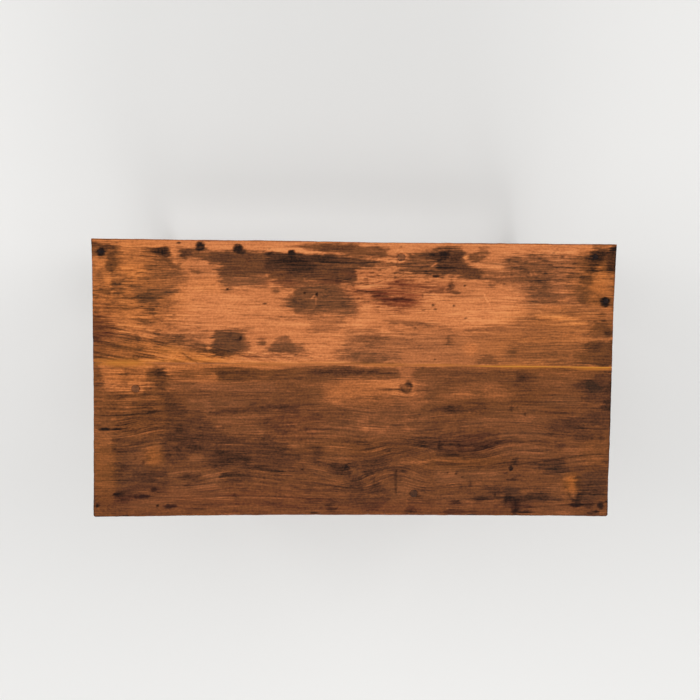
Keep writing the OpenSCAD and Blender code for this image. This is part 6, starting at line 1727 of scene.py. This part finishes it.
class MakeStage(bpy.types.Operator):
    """Makes the pale floor, the soft studio light and the camera"""
    bl_idname = "tavern_table.stage"
    bl_label = "Stage"

    def execute(self, context):
        scene = context.scene
        scene.view_settings.view_transform = "Standard"
        bm = bmesh.new()
        bmesh.ops.create_circle(bm, cap_ends=True, segments=64, radius=FLOOR_RADIUS)
        mesh = bpy.data.meshes.new("floor")
        bm.to_mesh(mesh)
        bm.free()
        floor = bpy.data.objects.new("floor", mesh)
        scene.collection.objects.link(floor)
        mesh.materials.append(bpy.data.materials["Matt pale floor"])

        world = bpy.data.worlds.new("Soft room")
        scene.world = world
        world.use_nodes = True
        tree = world.node_tree
        tree.nodes.clear()
        direction = add(tree, "TexCoord").outputs["Generated"]
        height = add(tree, "SeparateXYZ", [direction]).outputs[2]
        glow = add(tree, "ValToRGB", [height], stops={0: linear("#ececec"), 1: linear("#acadae")})
        add(tree, "OutputWorld", [add(tree, "Background", [glow, WORLD_STRENGTH])])
        for name, spot, size, power in SOFT_LIGHTS:
            light = bpy.data.lights.new(name, "AREA")
            light.shape, light.size, light.energy = "DISK", size, power
            lamp = bpy.data.objects.new(name, light)
            lamp.location = spot
            lamp.rotation_euler = (LIGHTS_AIM - Vector(spot)).to_track_quat("-Z", "Y").to_euler()
            lamp.visible_camera = False
            scene.collection.objects.link(lamp)

        eye = bpy.data.cameras.new("camera")
        eye.lens, eye.sensor_width = scene.table_sizes.lens, SENSOR_WIDTH
        eye.clip_start, eye.clip_end = 0.05, 60
        camera = bpy.data.objects.new("camera", eye)
        camera.location = CAMERA_PLACE
        camera.rotation_euler = [math.radians(a) for a in CAMERA_TURN]
        scene.collection.objects.link(camera)
        scene.camera = camera
        return {"FINISHED"}


class MakeTop(bpy.types.Operator):
    """Makes the two boards of the top"""
    bl_idname = "tavern_table.top"
    bl_label = "Top boards"

    def execute(self, context):
        sizes = context.scene.table_sizes
        board_piece("top_back_plank", "top_board_back", sizes.columns, sizes.back_rows, True)
        board_piece("top_front_plank", "top_board_front", sizes.columns, sizes.front_rows, False)
        return {"FINISHED"}


class MakeFiller(bpy.types.Operator):
    """Makes the amber filler in the seam"""
    bl_idname = "tavern_table.filler"
    bl_label = "Seam filler"

    def execute(self, context):
        filler_piece()
        return {"FINISHED"}


class MakePlugs(bpy.types.Operator):
    """Makes the wood plugs over the screws"""
    bl_idname = "tavern_table.plugs"
    bl_label = "Plugs"

    def execute(self, context):
        plugs_piece()
        return {"FINISHED"}


class MakeNails(bpy.types.Operator):
    """Makes the nail heads"""
    bl_idname = "tavern_table.nails"
    bl_label = "Nails"

    def execute(self, context):
        nails_piece()
        return {"FINISHED"}


class MakeLegs(bpy.types.Operator):
    """Makes the four turned legs"""
    bl_idname = "tavern_table.legs"
    bl_label = "Legs"

    def execute(self, context):
        for seed, (name, (x, y)) in enumerate(LEGS.items(), 101):
            leg_piece(name, x, y, seed)
        return {"FINISHED"}


class MakeAprons(bpy.types.Operator):
    """Makes the four aprons"""
    bl_idname = "tavern_table.aprons"
    bl_label = "Aprons"

    def execute(self, context):
        for seed, (name, apron) in enumerate(APRONS.items(), 201):
            apron_piece(name, *apron, seed)
        return {"FINISHED"}


class MakeStretchers(bpy.types.Operator):
    """Makes the four stretchers"""
    bl_idname = "tavern_table.stretchers"
    bl_label = "Stretchers"

    def execute(self, context):
        for seed, (name, stretcher) in enumerate(STRETCHERS.items(), 301):
            stretcher_piece(name, *stretcher, seed)
        return {"FINISHED"}


class MakeBattens(bpy.types.Operator):
    """Makes the two end battens"""
    bl_idname = "tavern_table.battens"
    bl_label = "End battens"

    def execute(self, context):
        for seed, (name, (low, high)) in enumerate(BATTENS.items(), 401):
            batten_piece(name, low, high, seed)
        return {"FINISHED"}


class MakePegs(bpy.types.Operator):
    """Makes the pegs of the aprons and stretchers"""
    bl_idname = "tavern_table.pegs"
    bl_label = "Pegs"

    def execute(self, context):
        pegs_piece("apron_peg_ends", "apron_pegs", APRON_PEG_SHIFT, APRON_PEG_Z, 501)
        pegs_piece("stretcher_peg_ends", "stretcher_pegs", STRETCHER_PEG_SHIFT, (STRETCHER_PEG_Z,), 502)
        return {"FINISHED"}


class MakeBlocks(bpy.types.Operator):
    """Makes the glue blocks"""
    bl_idname = "tavern_table.blocks"
    bl_label = "Glue blocks"

    def execute(self, context):
        blocks_piece()
        return {"FINISHED"}


class FinishHidden(bpy.types.Operator):
    """Gives the dowels and screws their finishes"""
    bl_idname = "tavern_table.hidden"
    bl_label = "Dowels and screws"

    def execute(self, context):
        for node, finish in (("seam_dowels", "Peg end grain"), ("top_screws", "Rusted wrought iron"),
                             ("batten_screws", "Rusted wrought iron")):
            mesh = bpy.data.objects[node].data
            if mesh.materials:
                mesh.materials[0] = bpy.data.materials[finish]
            else:
                mesh.materials.append(bpy.data.materials[finish])
        return {"FINISHED"}


STEPS = (MakeFinishes, MakeStage, MakeTop, MakeFiller, MakePlugs, MakeNails, MakeLegs, MakeAprons,
         MakeStretchers, MakeBattens, MakePegs, MakeBlocks, FinishHidden)


class TablePanel(bpy.types.Panel):
    """Lists the settings and the steps"""
    bl_idname = "VIEW3D_PT_tavern_table"
    bl_label = "Tavern table"
    bl_space_type = "VIEW_3D"
    bl_region_type = "UI"
    bl_category = "Tavern table"

    def draw(self, context):
        for group in (context.scene.table_sizes, context.scene.table_colours):
            for name in group.__annotations__:
                self.layout.prop(group, name)
        for step in STEPS:
            self.layout.operator(step.bl_idname)


CLASSES = (TableColours, TableSizes, *STEPS, TablePanel)


def register():
    """Adds the settings, the operators and the panel."""
    for cls in CLASSES:
        bpy.utils.register_class(cls)
    bpy.types.Scene.table_colours = bpy.props.PointerProperty(type=TableColours)
    bpy.types.Scene.table_sizes = bpy.props.PointerProperty(type=TableSizes)


def unregister():
    """Takes them away again."""
    del bpy.types.Scene.table_sizes
    del bpy.types.Scene.table_colours
    for cls in reversed(CLASSES):
        bpy.utils.unregister_class(cls)


def main():
    """Registers the add-on and builds the table."""
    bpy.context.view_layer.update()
    register()
    for step in STEPS:
        space, name = step.bl_idname.split(".")
        getattr(getattr(bpy.ops, space), name)()


if __name__ == "__main__":
    main()
